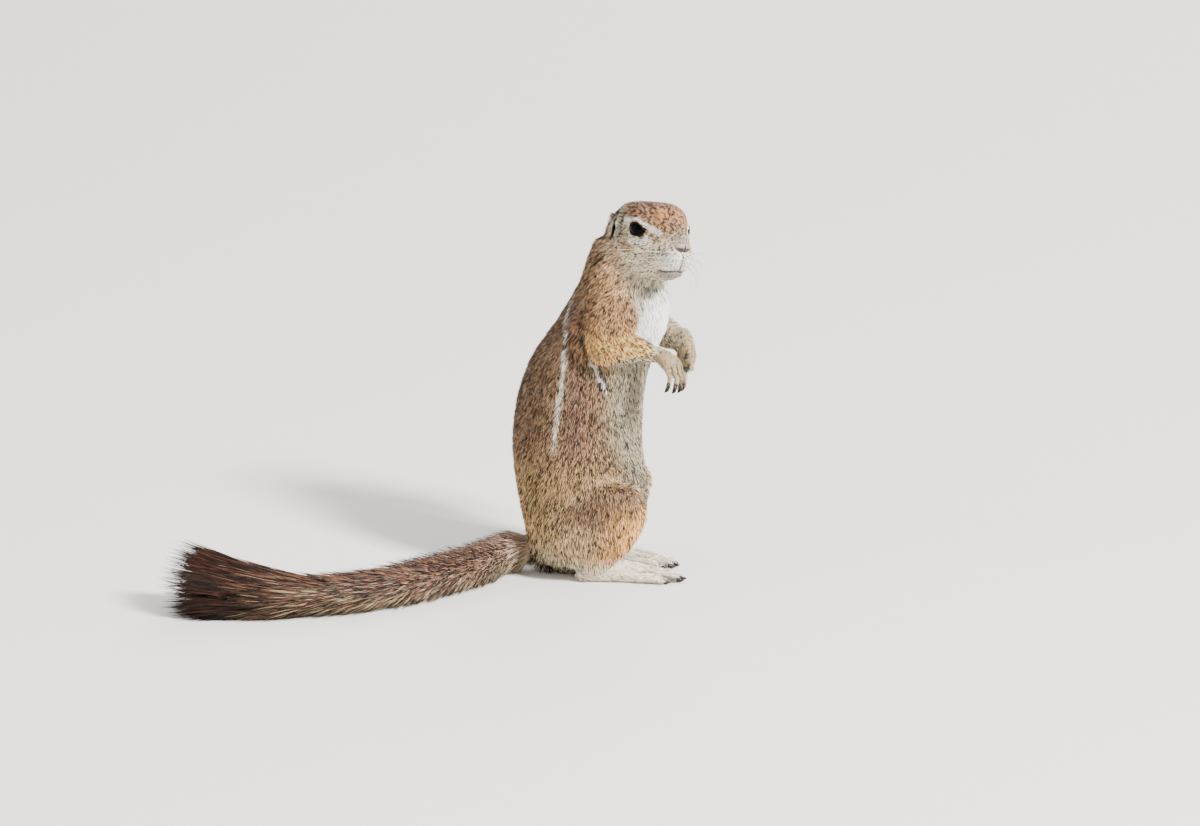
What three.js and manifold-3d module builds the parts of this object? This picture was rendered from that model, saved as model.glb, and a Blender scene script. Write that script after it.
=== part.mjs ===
// A Cape ground squirrel sitting up on its haunches, life size, in millimetres.
// +X is forward, +Y is the animal's left, +Z is up. The origin is the middle of the small
// flat under the rump, on the floor. The body faces +X and the head is turned to its right.

import * as THREE from 'three';
import { mergeVertices } from 'three/addons/utils/BufferGeometryUtils.js';
import Module from 'manifold-3d';

const wasm = await Module();
wasm.setup();

// ---- Driving dimensions ------------------------------------------------------------------

const GAP = 0.3;              // clear space between neighbouring pieces
const SITTING_HEIGHT = 231;   // floor to crown
const HEAD_YAW = -48;         // degrees, turned to the animal's right
const HEAD_PITCH = 9;         // degrees, nose up
const HEAD_ROLL = -11;        // degrees, left side down
const EYE_LEVEL = 216.2;      // height of the middle of the line between the eyes
const EYE_RADIUS = 5.6;
const EYE_SPREAD = 14.6;      // eye centre from the middle of the head
const EAR_HEIGHT = 13;
const FOOT_LENGTH = 60;       // heel to the tip of the middle toe, without the claw
const CLAW_LENGTH = 6.5;
const TAIL_CORE_LENGTH = 222; // bone and flesh, from inside the rump
const TAIL_HAIR_LENGTH = 27;  // a lock on the first two thirds of the tail
const BRUSH_HAIR_LENGTH = 50; // a lock at the end of the tail

// Torso: height above the floor, centre forward of the origin, half depth, half width.
const TORSO = [
  [0, 2, 8, 7],
  [3, 4.5, 18, 18],
  [9, 8, 26, 27],
  [20, 11, 33, 34],
  [35, 11.5, 38, 38],
  [57, 10, 40.5, 39.5],
  [77, 7.5, 40, 39],
  [95, 8, 39.5, 37.5],
  [114, 10.5, 38.5, 35.5],
  [134, 17, 37, 33],
  [154, 27.5, 34, 31],
  [168, 32.5, 30.5, 29.5],
  [178, 35, 27.5, 26.5],
  [188, 36.5, 25.5, 23.5],
  [198, 38, 23, 20],
  [206, 40.5, 19, 17],
  [213, 44, 12, 11],
];
const RUMP_TOP = 66;
const BELLY_TOP = 120;
const CHEST_TOP = 180;
const NECK_TOP = 213;

// Head, measured from the middle of the line between the eyes: forward, crown height,
// throat height, half width, height of the widest line.
const HEAD = [
  [-40, -5, -12, 3, -8],
  [-38.5, 2, -18, 10, -8],
  [-33, 9.5, -25, 16.5, -8],
  [-24, 14, -28, 19.6, -9],
  [-12, 15.4, -30, 20.8, -11],
  [-1, 14, -31, 19, -13],
  [7, 9.8, -31, 16.6, -15],
  [12.5, 5.2, -30.4, 13.6, -16.5],
  [17, 1, -28.6, 10.8, -16.5],
  [20.4, -2.8, -25.2, 8.8, -15.5],
  [23.2, -6.4, -22.4, 6.6, -14.5],
  [25.2, -10, -19, 3.8, -14],
];

// Middle line of the tail along the floor, from inside the rump to the tips of its hairs.
const TAIL_LINE = [
  [-15, 0, 15.5],
  [-33, -11, 12.5],
  [-50, -41, 11.6],
  [-76, -76, 11.8],
  [-104, -102, 12],
  [-133, -117, 12.8],
  [-162, -122, 15],
  [-190, -121, 18.5],
  [-223, -115, 25],
];
// Share of that line, reach of the hair from it, radius of the core.
const TAIL_GIRTH = [
  [0, 11, 7],
  [0.15, 12, 6.2],
  [0.4, 13, 5.8],
  [0.65, 14, 5],
  [0.8, 19, 4],
  [0.88, 25, 2.8],
  [0.95, 22, 2],
  [1, 13, 1.6],
];

// ---- Small tools -------------------------------------------------------------------------

const vec = (x, y, z) => new THREE.Vector3(x, y, z);
const radians = THREE.MathUtils.degToRad;
const mix = THREE.MathUtils.lerp;

// A repeatable random number from 0 to 1.
let seed = 20261;
function random() {
  seed = (seed * 1664525 + 1013904223) % 4294967296;
  return seed / 4294967296;
}
const vary = (size, share) => size * (1 + share * (2 * random() - 1));

// Smooth reading of a table at a value of its first column.
function rowAt(table, value) {
  const last = table.length - 1;
  let i = 0;
  while (i < last - 1 && value > table[i + 1][0]) {
    i++;
  }
  const before = table[Math.max(i - 1, 0)];
  const from = table[i];
  const to = table[i + 1];
  const after = table[Math.min(i + 2, last)];
  const span = to[0] - from[0];
  const t = THREE.MathUtils.clamp((value - from[0]) / span, 0, 1);
  return from.map((start, k) => {
    const slopeIn = ((to[k] - before[k]) / (to[0] - before[0])) * span;
    const slopeOut = ((after[k] - start) / (after[0] - from[0])) * span;
    const a = 2 * start - 2 * to[k] + slopeIn + slopeOut;
    const b = -3 * start + 3 * to[k] - 2 * slopeIn - slopeOut;
    return ((a * t + b) * t + slopeIn) * t + start;
  });
}

// A closed skin over rings of equal point count, with a fan to a middle point at both ends.
function skin(rings, startPoint, endPoint) {
  const count = rings[0].length;
  const points = [...rings.flat(), startPoint, endPoint];
  const start = points.length - 2;
  const end = points.length - 1;
  const faces = [];
  for (let j = 0; j < count; j++) {
    const k = (j + 1) % count;
    for (let i = 0; i < rings.length - 1; i++) {
      const low = i * count;
      const high = low + count;
      faces.push(low + j, low + k, high + k, low + j, high + k, high + j);
    }
    const top = (rings.length - 1) * count;
    faces.push(start, k, j, end, top + j, top + k);
  }
  const volume = faces.reduce((sum, at, n) => {
    const done = n % 3 === 2;
    return done ? sum + points[faces[n - 2]].dot(points[faces[n - 1]].clone().cross(points[at])) : sum;
  }, 0);
  if (volume < 0) {
    faces.reverse();
  }
  const geometry = new THREE.BufferGeometry().setFromPoints(points);
  geometry.setIndex(faces);
  return geometry;
}

// An oval limb along a curve. Each stop is [x, y, z, half breadth, half thickness], `flat` is
// the direction of the thickness, and a round end is a dome as long as its share of the size.
const LIMB = { flat: vec(0, 0, 1), sides: 12, steps: 8, round: [1, 1], point: false, dome: [0.85, 0.5] };
function limb(stops, choices = {}) {
  const { flat, sides, steps, round, point, dome } = { ...LIMB, ...choices };
  const line = new THREE.CatmullRomCurve3(stops.map((s) => vec(s[0], s[1], s[2])));
  const sizes = new THREE.CatmullRomCurve3(stops.map((s) => vec(s[3], s[4], 0)));
  const rings = [];
  const ringAt = (t, shift, shrink) => {
    const along = line.getTangent(t);
    const middle = line.getPoint(t).addScaledVector(along, shift);
    const size = sizes.getPoint(t).multiplyScalar(shrink);
    const thick = flat.clone().addScaledVector(along, -flat.dot(along)).normalize();
    const broad = thick.clone().cross(along);
    rings.push(Array.from({ length: sides }, (_, j) => {
      const angle = ((j + 0.5) / sides) * 2 * Math.PI;
      return middle.clone()
        .addScaledVector(broad, size.x * Math.cos(angle))
        .addScaledVector(thick, size.y * Math.sin(angle));
    }));
  };
  const lengthAt = (t, share) => share * Math.min(sizes.getPoint(t).x, sizes.getPoint(t).y);
  const startLength = lengthAt(0, round[0]);
  const endLength = lengthAt(1, round[1]);
  if (round[0]) {
    dome.forEach((d) => ringAt(0, -startLength * d, Math.sqrt(1 - d * d)));
  }
  for (let i = 0; i <= steps - (point ? 1 : 0); i++) {
    ringAt(i / steps, 0, 1);
  }
  if (round[1] && !point) {
    [...dome].reverse().forEach((d) => ringAt(1, endLength * d, Math.sqrt(1 - d * d)));
  }
  const startPoint = line.getPoint(0).addScaledVector(line.getTangent(0), -startLength);
  const endPoint = line.getPoint(1).addScaledVector(line.getTangent(1), point ? 0 : endLength);
  return skin(rings, startPoint, endPoint);
}

function ellipsoid(centre, radii, turn = new THREE.Euler(), detail = 14) {
  const geometry = new THREE.SphereGeometry(1, detail, Math.round(detail * 0.7));
  geometry.scale(...radii);
  geometry.applyMatrix4(new THREE.Matrix4().makeRotationFromEuler(turn));
  return geometry.translate(...centre);
}

// Only positions, with shared vertices merged.
function welded(geometry) {
  const plain = geometry.clone();
  plain.deleteAttribute('normal');
  plain.deleteAttribute('uv');
  return mergeVertices(plain, 1e-4);
}

// The same body grown outward by the gap, to cut a neighbour with.
function grown(geometry, by = GAP) {
  const body = welded(geometry);
  body.computeVertexNormals();
  const { position, normal } = body.attributes;
  for (let i = 0; i < position.count; i++) {
    position.setXYZ(
      i,
      position.getX(i) + by * normal.getX(i),
      position.getY(i) + by * normal.getY(i),
      position.getZ(i) + by * normal.getZ(i),
    );
  }
  return body;
}

function toSolid(geometry) {
  const body = welded(geometry);
  return new wasm.Manifold(new wasm.Mesh({
    numProp: 3,
    vertProperties: new Float32Array(body.attributes.position.array),
    triVerts: new Uint32Array(body.index.array),
  }));
}

function toGeometry(solid) {
  const { vertProperties, triVerts } = solid.getMesh();
  const geometry = new THREE.BufferGeometry();
  geometry.setAttribute('position', new THREE.BufferAttribute(vertProperties, 3));
  geometry.setIndex(new THREE.BufferAttribute(triVerts, 1));
  return geometry;
}

const largestBody = (solid) => toGeometry(solid.decompose().sort((a, b) => b.volume() - a.volume())[0]);

// Join the first list, cut away the second and keep the largest closed body.
function carve(joined, removed = []) {
  let solid = joined.map(toSolid).reduce((all, next) => all.add(next));
  for (const geometry of removed) {
    solid = solid.subtract(toSolid(geometry));
  }
  return largestBody(solid);
}

const inPlace = (geometry, group) => {
  group.updateMatrix();
  return geometry.clone().applyMatrix4(group.matrix);
};

// ---- Materials ---------------------------------------------------------------------------

const coat = (colour) => new THREE.MeshStandardMaterial({ color: colour, roughness: 0.9, metalness: 0 });
const BACK_FUR = coat('#9c7d5d');
const ARM_FUR = coat('#bd976a');
const CHEST_FUR = coat('#d9d2c2');
const FACE_FUR = coat('#b39472');
const FOOT_FUR = coat('#dccfb4');
const TAIL_FUR = coat('#6a4435');
const NOSE_SKIN = new THREE.MeshStandardMaterial({ color: '#8c6f66', roughness: 0.6, metalness: 0 });
const EYE_GLOSS = new THREE.MeshStandardMaterial({ color: '#0d0b0c', roughness: 0.08, metalness: 0 });

const squirrel = new THREE.Group();
function place(name, geometry, material, parent = squirrel) {
  const mesh = new THREE.Mesh(geometry, material);
  mesh.name = name;
  parent.add(mesh);
  return mesh;
}

const floor = new THREE.BoxGeometry(900, 900, 60).translate(-60, -40, -30);

// ---- Head, with its eyes, ears and nose --------------------------------------------------

const headGroup = new THREE.Group();
headGroup.position.set(60.5, -14, EYE_LEVEL);
headGroup.rotation.set(radians(HEAD_ROLL), radians(-HEAD_PITCH), radians(HEAD_YAW), 'ZYX');
squirrel.add(headGroup);

// Egg-shaped sections from the nape to the muzzle.
function headForm() {
  const rings = [];
  const sides = 20;
  const first = HEAD[0][0];
  const last = HEAD[HEAD.length - 1][0];
  const steps = 16;
  for (let i = 0; i <= steps; i++) {
    const share = i / steps;
    const even = mix(share, 0.5 - 0.5 * Math.cos(Math.PI * share), 0.55);
    const [x, crown, throat, half, widest] = rowAt(HEAD, mix(first, last, even));
    rings.push(Array.from({ length: sides }, (_, j) => {
      const angle = ((j + 0.5) / sides) * 2 * Math.PI;
      const [side, lift] = [Math.cos(angle), Math.sin(angle)];
      const square = lift > 0 ? mix(0.8, 1, THREE.MathUtils.smoothstep(x, -4, 14)) : 1;
      const rise = (lift > 0 ? crown - widest : widest - throat) * Math.abs(lift) ** square;
      const jaw = lift > 0 ? 1 : 1 - 0.3 * Math.abs(lift) ** 1.5 * THREE.MathUtils.smoothstep(x, -10, 16);
      const brow = THREE.MathUtils.smoothstep(lift, 0.5, 0.72) * Math.exp(-(((x + 4) / 10) ** 2));
      const across = half * jaw * Math.sign(side) * Math.abs(side) ** mix(square, 0.42, brow);
      return vec(x, across, widest + rise * Math.sign(lift));
    }));
  }
  return skin(rings, vec(first - 0.5, 0, -9), vec(last + 0.5, 0, -15));
}

const eyeAt = (side) => [-2.4, side * EYE_SPREAD, -0.8];

// The rim of both lids: an almond round the eye, pointed towards the nose.
function lids(side) {
  const eye = vec(...eyeAt(side));
  const out = vec(0.3, side * 0.93, 0.16).normalize();
  const forward = vec(1, 0, -0.1).addScaledVector(out, -out.x).normalize();
  const up = forward.clone().cross(out).multiplyScalar(side).normalize();
  const rim = Array.from({ length: 18 }, (_, j) => {
    const angle = (j / 18) * 2 * Math.PI;
    const corner = Math.max(0, Math.cos(angle)) ** 6;
    const across = 4.8 * Math.cos(angle) + 1.0 * corner;
    const tall = 4.1 * Math.sin(angle) - 1.5 * corner;
    const depth = Math.sqrt(Math.max((EYE_RADIUS + 0.7) ** 2 - across ** 2 - tall ** 2, 4));
    return eye.clone()
      .addScaledVector(out, depth)
      .addScaledVector(forward, across)
      .addScaledVector(up, tall);
  });
  return new THREE.TubeGeometry(new THREE.CatmullRomCurve3(rim, true), 14, 1.2, 4, true);
}

// The mouth: a groove round the front of the muzzle from one corner to the other.
function mouthGroove() {
  const corner = 12.5;
  const shape = new THREE.Shape();
  shape.moveTo(corner, -16);
  shape.lineTo(32, -16);
  shape.lineTo(32, 16);
  shape.lineTo(corner, 16);
  for (let i = 0; i <= 12; i++) {
    const angle = mix(Math.PI / 2, -Math.PI / 2, i / 12);
    shape.lineTo(corner + 8.2 * Math.cos(angle), 7.8 * Math.sin(angle));
  }
  const groove = new THREE.ExtrudeGeometry(shape, { depth: 0.9, bevelEnabled: false });
  return groove.rotateY(radians(-3)).translate(0, 0, -24.6);
}

const philtrum = new THREE.BoxGeometry(4, 0.7, 10.5).rotateY(radians(24)).translate(24.2, 0, -18.6);
const nosePad = ellipsoid([22.8, 0, -9.6], [3.3, 4.2, 3], new THREE.Euler(0, radians(30), 0), 11);
const nostrils = [-1, 1].map((side) => ellipsoid(
  [25.4, side * 2.2, -10.4], [1.5, 0.95, 1.1], new THREE.Euler(0, 0, side * 0.5), 6,
));
const nose = carve([nosePad], nostrils);

const earTurn = (side) => new THREE.Euler(side * -0.1, 0.28, side * 0.3);
const earAt = (side) => [-22.5, side * 17.2, -3];
const earShell = (side, more = 0) => ellipsoid(
  earAt(side), [4.9 + more, 3.6 + more, EAR_HEIGHT / 2 + more], earTurn(side), 9,
);
function ear(side) {
  const [x, y, z] = earAt(side);
  const cup = ellipsoid([x + 0.6, y + side * 3, z - 0.2], [2.5, 3.6, EAR_HEIGHT / 2 - 1.7], earTurn(side), 8);
  return carve([earShell(side)], [cup]);
}
const eyeball = (side, more = 0) => ellipsoid(
  eyeAt(side), [1, 1, 1].map((k) => k * (EYE_RADIUS + more)), new THREE.Euler(), 11,
);

const headSolid = carve(
  [headForm(), lids(-1), lids(1)],
  [
    eyeball(-1, GAP), eyeball(1, GAP), earShell(-1, GAP), earShell(1, GAP),
    grown(nosePad), mouthGroove(), philtrum,
  ],
);
place('head', headSolid, FACE_FUR, headGroup);
place('nose', nose, NOSE_SKIN, headGroup);
for (const [side, word] of [[-1, 'right'], [1, 'left']]) {
  place(`eye_${word}`, eyeball(side), EYE_GLOSS, headGroup);
  place(`ear_${word}`, ear(side), FACE_FUR, headGroup);
}
const headParts = [headForm(), lids(-1), lids(1), earShell(-1), earShell(1)];

// ---- Hands and feet ----------------------------------------------------------------------

// One digit and its claw. Stops run from the knuckle to the tip, claws curve down.
function digit(base, bend, tip, radius, clawDrop) {
  const finger = limb(
    [
      [...base, radius, radius * 0.95],
      [...bend, radius * 0.95, radius * 0.9],
      [...tip, radius * 0.8, radius * 0.8],
    ],
    { sides: 5, steps: 2, round: [0, 0.7], dome: [0.65] },
  );
  const ahead = vec(...tip).sub(vec(...bend)).normalize();
  const root = vec(...tip).addScaledVector(ahead, -0.8);
  const middle = root.clone().addScaledVector(ahead, CLAW_LENGTH * 0.5).add(vec(0, 0, clawDrop * 0.25));
  const end = root.clone().addScaledVector(ahead, CLAW_LENGTH * 0.95).add(vec(0, 0, clawDrop));
  const claw = limb(
    [[...root, 1.1, 1.15], [...middle, 0.85, 0.9], [...end, 0.3, 0.3]],
    { sides: 4, steps: 2, round: [0, 0.6], dome: [] },
  );
  return [finger, claw];
}

// Hand: +X runs from the wrist to the knuckles and +Z is the back of the hand. Thumb says
// on which side of Y the thumb is.
function hand(curl, thumb) {
  const palm = limb(
    [[-2, 0, 0.3, 4.8, 4.1], [4, 0, 1, 6, 4.9], [10.5, 0, 0.6, 6.9, 4.6], [15, 0, -0.9, 6.6, 3]],
    { sides: 8, steps: 3, round: [0.8, 0.7], dome: [0.7] },
  );
  const pieces = [palm];
  [-5.4, -1.9, 1.8, 5.2].forEach((y, n) => {
    const reach = [-1.2, 0.6, 0.5, -1][n];
    const spread = 1.12;
    pieces.push(...digit(
      [14.5 + reach, y, -1.2],
      [19.4 + reach - 2.5 * curl, y * spread, -3],
      [21.6 + reach - 6.5 * curl, y * spread * 1.06, -8 + 1.2 * curl],
      1.95,
      -1.2 * curl,
    ));
  });
  pieces.push(...digit([5, thumb * 4.8, -2], [7.4, thumb * 5.8, -3.6], [8.6, thumb * 5.6, -5.6], 1.4, 0));
  return carve(pieces);
}

function handGroup(wrist, ahead, palmSide) {
  const forward = vec(...ahead).normalize();
  const back = vec(...palmSide).multiplyScalar(-1);
  back.addScaledVector(forward, -back.dot(forward)).normalize();
  const across = back.clone().cross(forward);
  const group = new THREE.Group();
  group.quaternion.setFromRotationMatrix(new THREE.Matrix4().makeBasis(forward, across, back));
  group.position.set(...wrist);
  squirrel.add(group);
  return group;
}

const hands = {
  right: handGroup([61, -26.5, 141], [0.71, -0.615, -0.34], [-0.323, 0.14, -0.928]),
  left: handGroup([69.2, 16.5, 140.5], [0.12, 0, -0.99], [-0.5, -0.86, -0.06]),
};
const handSolids = { right: hand(0.2, 1), left: hand(0.7, -1) };

// Foot: +X runs from the heel to the toes and z = 0 is the floor. The inner toe is shortest.
function foot(side) {
  const sole = limb(
    [
      [5.5, 0, 6.6, 5.6, 6],
      [13, 0, 7.4, 6.6, 7.6],
      [24, 0, 6.4, 7, 6.8],
      [36, 0, 5, 8, 5.4],
      [46, 0, 3.8, 8.2, 4.1],
    ],
    { sides: 10, steps: 5, round: [1, 0.8], dome: [0.75] },
  );
  const pieces = [sole];
  [-7.2, -3.7, 0, 3.6, 6.8].forEach((y, n) => {
    const tip = FOOT_LENGTH - [11, 3, 1, 2.5, 7][n];
    const out = -side * y;
    pieces.push(...digit(
      [tip - 14, out * 0.9, 3.4], [tip - 6.5, out * 1.1, 4], [tip, out * 1.2, 2.3], 2.35, 0.5,
    ));
  });
  return carve(pieces, [floor]);
}

const feet = { right: new THREE.Group(), left: new THREE.Group() };
feet.right.position.set(12, -23.5, 0);
feet.right.rotation.z = radians(8);
feet.left.position.set(4, 22.5, 0);
feet.left.rotation.z = radians(-8);
squirrel.add(feet.right, feet.left);
const footSolids = { right: foot(-1), left: foot(1) };

// ---- Legs and arms -----------------------------------------------------------------------

const outward = (side) => vec(-0.12, side, 0.15).normalize();
const legs = {
  right: {
    thigh: [
      [-8, -19, 40, 20, 9],
      [6, -25, 41, 30, 15],
      [22, -31, 45, 28, 14.5],
      [37, -34.5, 50.5, 19, 12],
      [44, -35, 53, 13, 10],
    ],
    shank: [
      [44, -34.5, 50, 12, 8.5],
      [37, -33, 35, 13.5, 9],
      [28, -29.5, 22, 11, 8],
      [20, -26.5, 12, 8, 7],
    ],
  },
  left: {
    thigh: [
      [-8, 19, 40, 20, 9],
      [5, 25, 40, 30, 15],
      [20, 30.5, 43, 28, 14.5],
      [32, 33.5, 46.5, 19, 12],
      [38, 34, 49, 13, 10],
    ],
    shank: [
      [37, 33.5, 46, 12, 8.5],
      [30, 32, 33, 13.5, 9],
      [22, 28, 21, 11, 8],
      [12, 25, 12, 8, 7],
    ],
  },
};
const arms = {
  right: {
    upper: [
      [36, -17, 177, 13, 9],
      [34, -25, 168, 17, 11],
      [30, -31, 157, 16, 10.5],
      [27, -34, 149.5, 12, 9],
    ],
    fore: [
      [25, -34, 149, 12.5, 9.5],
      [34, -33.5, 149, 13.5, 9.5],
      [47, -30, 145.5, 9.8, 7.4],
      [59, -26.4, 141.8, 5.4, 4.6],
    ],
  },
  left: {
    upper: [
      [35, 17, 176, 12, 9],
      [37, 25, 167, 14.5, 10.5],
      [40, 30.5, 156, 14, 10],
      [44, 33.5, 144.5, 11, 9.4],
    ],
    fore: [
      [44, 34, 143.5, 11, 9.5],
      [52, 31, 143, 11, 9.5],
      [61, 24.5, 141, 10, 8.4],
      [68.5, 17.5, 140, 7, 5.8],
    ],
  },
};

const legCutters = [];
const armCutters = [];
for (const [side, word] of [[-1, 'right'], [1, 'left']]) {
  const footThere = inPlace(footSolids[word], feet[word]);
  const thighForm = limb(legs[word].thigh, { flat: outward(side), sides: 12, steps: 5 });
  const thigh = carve([thighForm], [grown(footThere)]);
  const shankForm = limb(legs[word].shank, { flat: outward(side), sides: 12, steps: 5, round: [1, 0.7] });
  const shank = carve([shankForm], [grown(thighForm), grown(footThere)]);
  place(`thigh_${word}`, thigh, BACK_FUR);
  place(`shank_${word}`, shank, ARM_FUR);
  place(`foot_${word}`, footSolids[word], FOOT_FUR, feet[word]);

  const handThere = inPlace(handSolids[word], hands[word]);
  const upper = limb(arms[word].upper, { flat: outward(side), sides: 12, steps: 5, round: [1, 1] });
  const foreForm = limb(arms[word].fore, { flat: outward(side), sides: 10, steps: 5, round: [0.8, 0.7] });
  const fore = carve([foreForm], [grown(upper), grown(handThere)]);
  place(`upper_arm_${word}`, upper, ARM_FUR);
  place(`forearm_${word}`, fore, ARM_FUR);
  place(`hand_${word}`, handSolids[word], FOOT_FUR, hands[word]);
  legCutters.push(grown(thighForm), grown(shankForm), grown(footThere));
  armCutters.push(grown(upper), grown(foreForm));
}

// ---- Neck and torso, four lengths of one form --------------------------------------------

function torsoLength(from, to, rows, sides = 20) {
  const ring = (z) => {
    const [, x, depth, width] = rowAt(TORSO, z);
    return Array.from({ length: sides }, (_, j) => {
      const angle = ((j + 0.5) / sides) * 2 * Math.PI;
      return vec(x + depth * Math.cos(angle), width * Math.sin(angle), z);
    });
  };
  const rings = Array.from({ length: rows + 1 }, (_, i) => ring(mix(from, to, i / rows)));
  const middle = (z) => vec(rowAt(TORSO, z)[1], 0, z);
  return skin(rings, middle(from), middle(to));
}
const RUMP = torsoLength(0, RUMP_TOP, 8);
const BELLY = torsoLength(RUMP_TOP + GAP, BELLY_TOP, 5);
const CHEST = torsoLength(BELLY_TOP + GAP, CHEST_TOP, 7);
const NECK = torsoLength(CHEST_TOP + GAP, NECK_TOP, 4);
const rump = carve([RUMP], legCutters);
place('rump', rump, BACK_FUR);
place('belly', carve([BELLY], legCutters), BACK_FUR);
place('chest', carve([CHEST], armCutters), CHEST_FUR);
const headCutters = headParts.map((part) => grown(inPlace(part, headGroup)));
place('neck', carve([NECK], [...armCutters, ...headCutters]), BACK_FUR);

// ---- Tail --------------------------------------------------------------------------------

const tailCurve = new THREE.CatmullRomCurve3(TAIL_LINE.map((p) => vec(...p)));
const tailLength = tailCurve.getLength();
const coreShare = TAIL_CORE_LENGTH / tailLength;

// Middle, direction, upward and sideways at a share of the tail's length.
function tailFrame(share) {
  const past = Math.max(0, share - 1) * tailLength;
  const along = tailCurve.getTangentAt(Math.min(share, 1));
  const middle = tailCurve.getPointAt(Math.min(share, 1)).addScaledVector(along, past);
  const up = vec(0, 0, 1).addScaledVector(along, -along.z).normalize();
  return { middle, along, up, across: up.clone().cross(along) };
}

// Bone and flesh, as far as they reach.
function tailCore(steps, sides) {
  const rings = [];
  for (let i = 0; i <= steps; i++) {
    const share = (i / steps) * coreShare;
    const { middle, up, across } = tailFrame(share);
    const [, , radius] = rowAt(TAIL_GIRTH, share);
    rings.push(Array.from({ length: sides }, (_, j) => {
      const angle = ((j + 0.5) / sides) * 2 * Math.PI;
      return middle.clone()
        .addScaledVector(across, radius * Math.cos(angle))
        .addScaledVector(up, radius * Math.sin(angle));
    }));
  }
  const end = tailFrame(coreShare);
  const tip = end.middle.clone().addScaledVector(end.along, 4);
  return skin(rings, tailFrame(0).middle, tip);
}

// One flat, tapered lock. It leaves the core at a slant and bends over to lie along the tail.
function tailLock(share, angle, length, breadth, lift) {
  const stops = [];
  const rows = 3;
  for (let i = 0; i <= rows; i++) {
    const q = i / rows;
    const { middle, up, across } = tailFrame(share + (q * length) / tailLength);
    const [, reach, core] = rowAt(TAIL_GIRTH, Math.min(share + (q * length) / tailLength, 1));
    const radial = across.clone().multiplyScalar(Math.cos(angle)).addScaledVector(up, Math.sin(angle));
    const out = mix(core * 0.45, reach * lift, 1 - (1 - q) ** 1.3);
    const at = middle.clone().addScaledVector(radial, out);
    at.z = Math.max(at.z, -0.4);
    const taper = [0.5, 1, 0.85, 0][i];
    stops.push([at.x, at.y, at.z, breadth * taper + 0.15, 0.85 * (1 - 0.7 * q) + 0.15]);
  }
  const { up, across } = tailFrame(share);
  const flat = across.multiplyScalar(Math.cos(angle)).addScaledVector(up, Math.sin(angle));
  return limb(stops, { flat, sides: 4, steps: rows, round: [0, 0], point: true });
}

function tailLocks() {
  const locks = [];
  let share = 0.04;
  let row = 0;
  while (share < coreShare) {
    const brush = THREE.MathUtils.smoothstep(share, 0.62, 0.84);
    const count = brush > 0.5 ? 6 : 5;
    for (let n = 0; n < count; n++) {
      const angle = ((n + 0.5 * (row % 2)) / count) * 2 * Math.PI + 0.16 * (random() - 0.5);
      const length = vary(mix(TAIL_HAIR_LENGTH, BRUSH_HAIR_LENGTH, brush), 0.14);
      const reach = vary(0.95, 0.04);
      locks.push(tailLock(share, angle, length, vary(mix(5.6, 6.2, brush), 0.1), reach));
    }
    share += vary(16, 0.08) / tailLength;
    row++;
  }
  return locks;
}

// Seams between the lengths of the tail are funnels that open along the lie of the hair.
function funnel(share, more) {
  const { middle, along } = tailFrame(share);
  const depth = 260;
  const mouth = depth * 0.75;
  const shape = new THREE.CylinderGeometry(mouth + more, 0.6 + more, depth, 12).translate(0, depth / 2, 0);
  const turn = new THREE.Quaternion().setFromUnitVectors(vec(0, 1, 0), along);
  const at = middle.clone().addScaledVector(along, -8 - more * 1.5);
  return shape.applyMatrix4(new THREE.Matrix4().compose(at, turn, vec(1, 1, 1)));
}

const wholeTail = toSolid(carve([tailCore(18, 8), ...tailLocks()], [floor, grown(RUMP), ...legCutters]));
const TAIL_SEAMS = [0.24, 0.45, 0.7];
['tail_root', 'tail_middle', 'tail_end', 'tail_brush'].forEach((name, n) => {
  let length = wholeTail;
  if (n > 0) {
    length = length.intersect(toSolid(funnel(TAIL_SEAMS[n - 1], 0)));
  }
  if (n < TAIL_SEAMS.length) {
    length = length.subtract(toSolid(funnel(TAIL_SEAMS[n], GAP)));
  }
  place(name, largestBody(length), TAIL_FUR);
});

squirrel.name = `ground_squirrel_${SITTING_HEIGHT}`;

export default squirrel;
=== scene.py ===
# A Cape ground squirrel sitting up on its haunches, life size, in metres.
# +X is the way the body faces, +Y is the animal's left, +Z is up, and the floor is z = 0.

import bmesh
import bpy
import functools
import math
import numpy as np
from mathutils import Matrix, Vector
from mathutils.bvhtree import BVHTree


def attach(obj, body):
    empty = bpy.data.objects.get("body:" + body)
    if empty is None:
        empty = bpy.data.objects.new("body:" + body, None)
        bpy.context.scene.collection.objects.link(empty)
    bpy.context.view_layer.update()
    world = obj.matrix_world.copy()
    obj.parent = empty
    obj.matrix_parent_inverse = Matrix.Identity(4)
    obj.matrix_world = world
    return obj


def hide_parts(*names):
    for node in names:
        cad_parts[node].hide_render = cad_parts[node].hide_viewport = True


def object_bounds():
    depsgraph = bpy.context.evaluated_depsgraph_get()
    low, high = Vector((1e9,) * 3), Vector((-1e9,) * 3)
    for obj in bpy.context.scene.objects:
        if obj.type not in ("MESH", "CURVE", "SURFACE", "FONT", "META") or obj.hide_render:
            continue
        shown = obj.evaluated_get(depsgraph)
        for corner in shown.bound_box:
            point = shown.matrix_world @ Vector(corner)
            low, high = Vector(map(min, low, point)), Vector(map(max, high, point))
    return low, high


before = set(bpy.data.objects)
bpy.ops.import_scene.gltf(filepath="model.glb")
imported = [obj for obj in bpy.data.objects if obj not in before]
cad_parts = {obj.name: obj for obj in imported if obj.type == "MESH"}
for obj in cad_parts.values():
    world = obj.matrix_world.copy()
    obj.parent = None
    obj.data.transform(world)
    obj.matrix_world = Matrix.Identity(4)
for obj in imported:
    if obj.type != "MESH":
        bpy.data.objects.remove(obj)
cad_box = [list(corner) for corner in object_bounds()]

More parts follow.
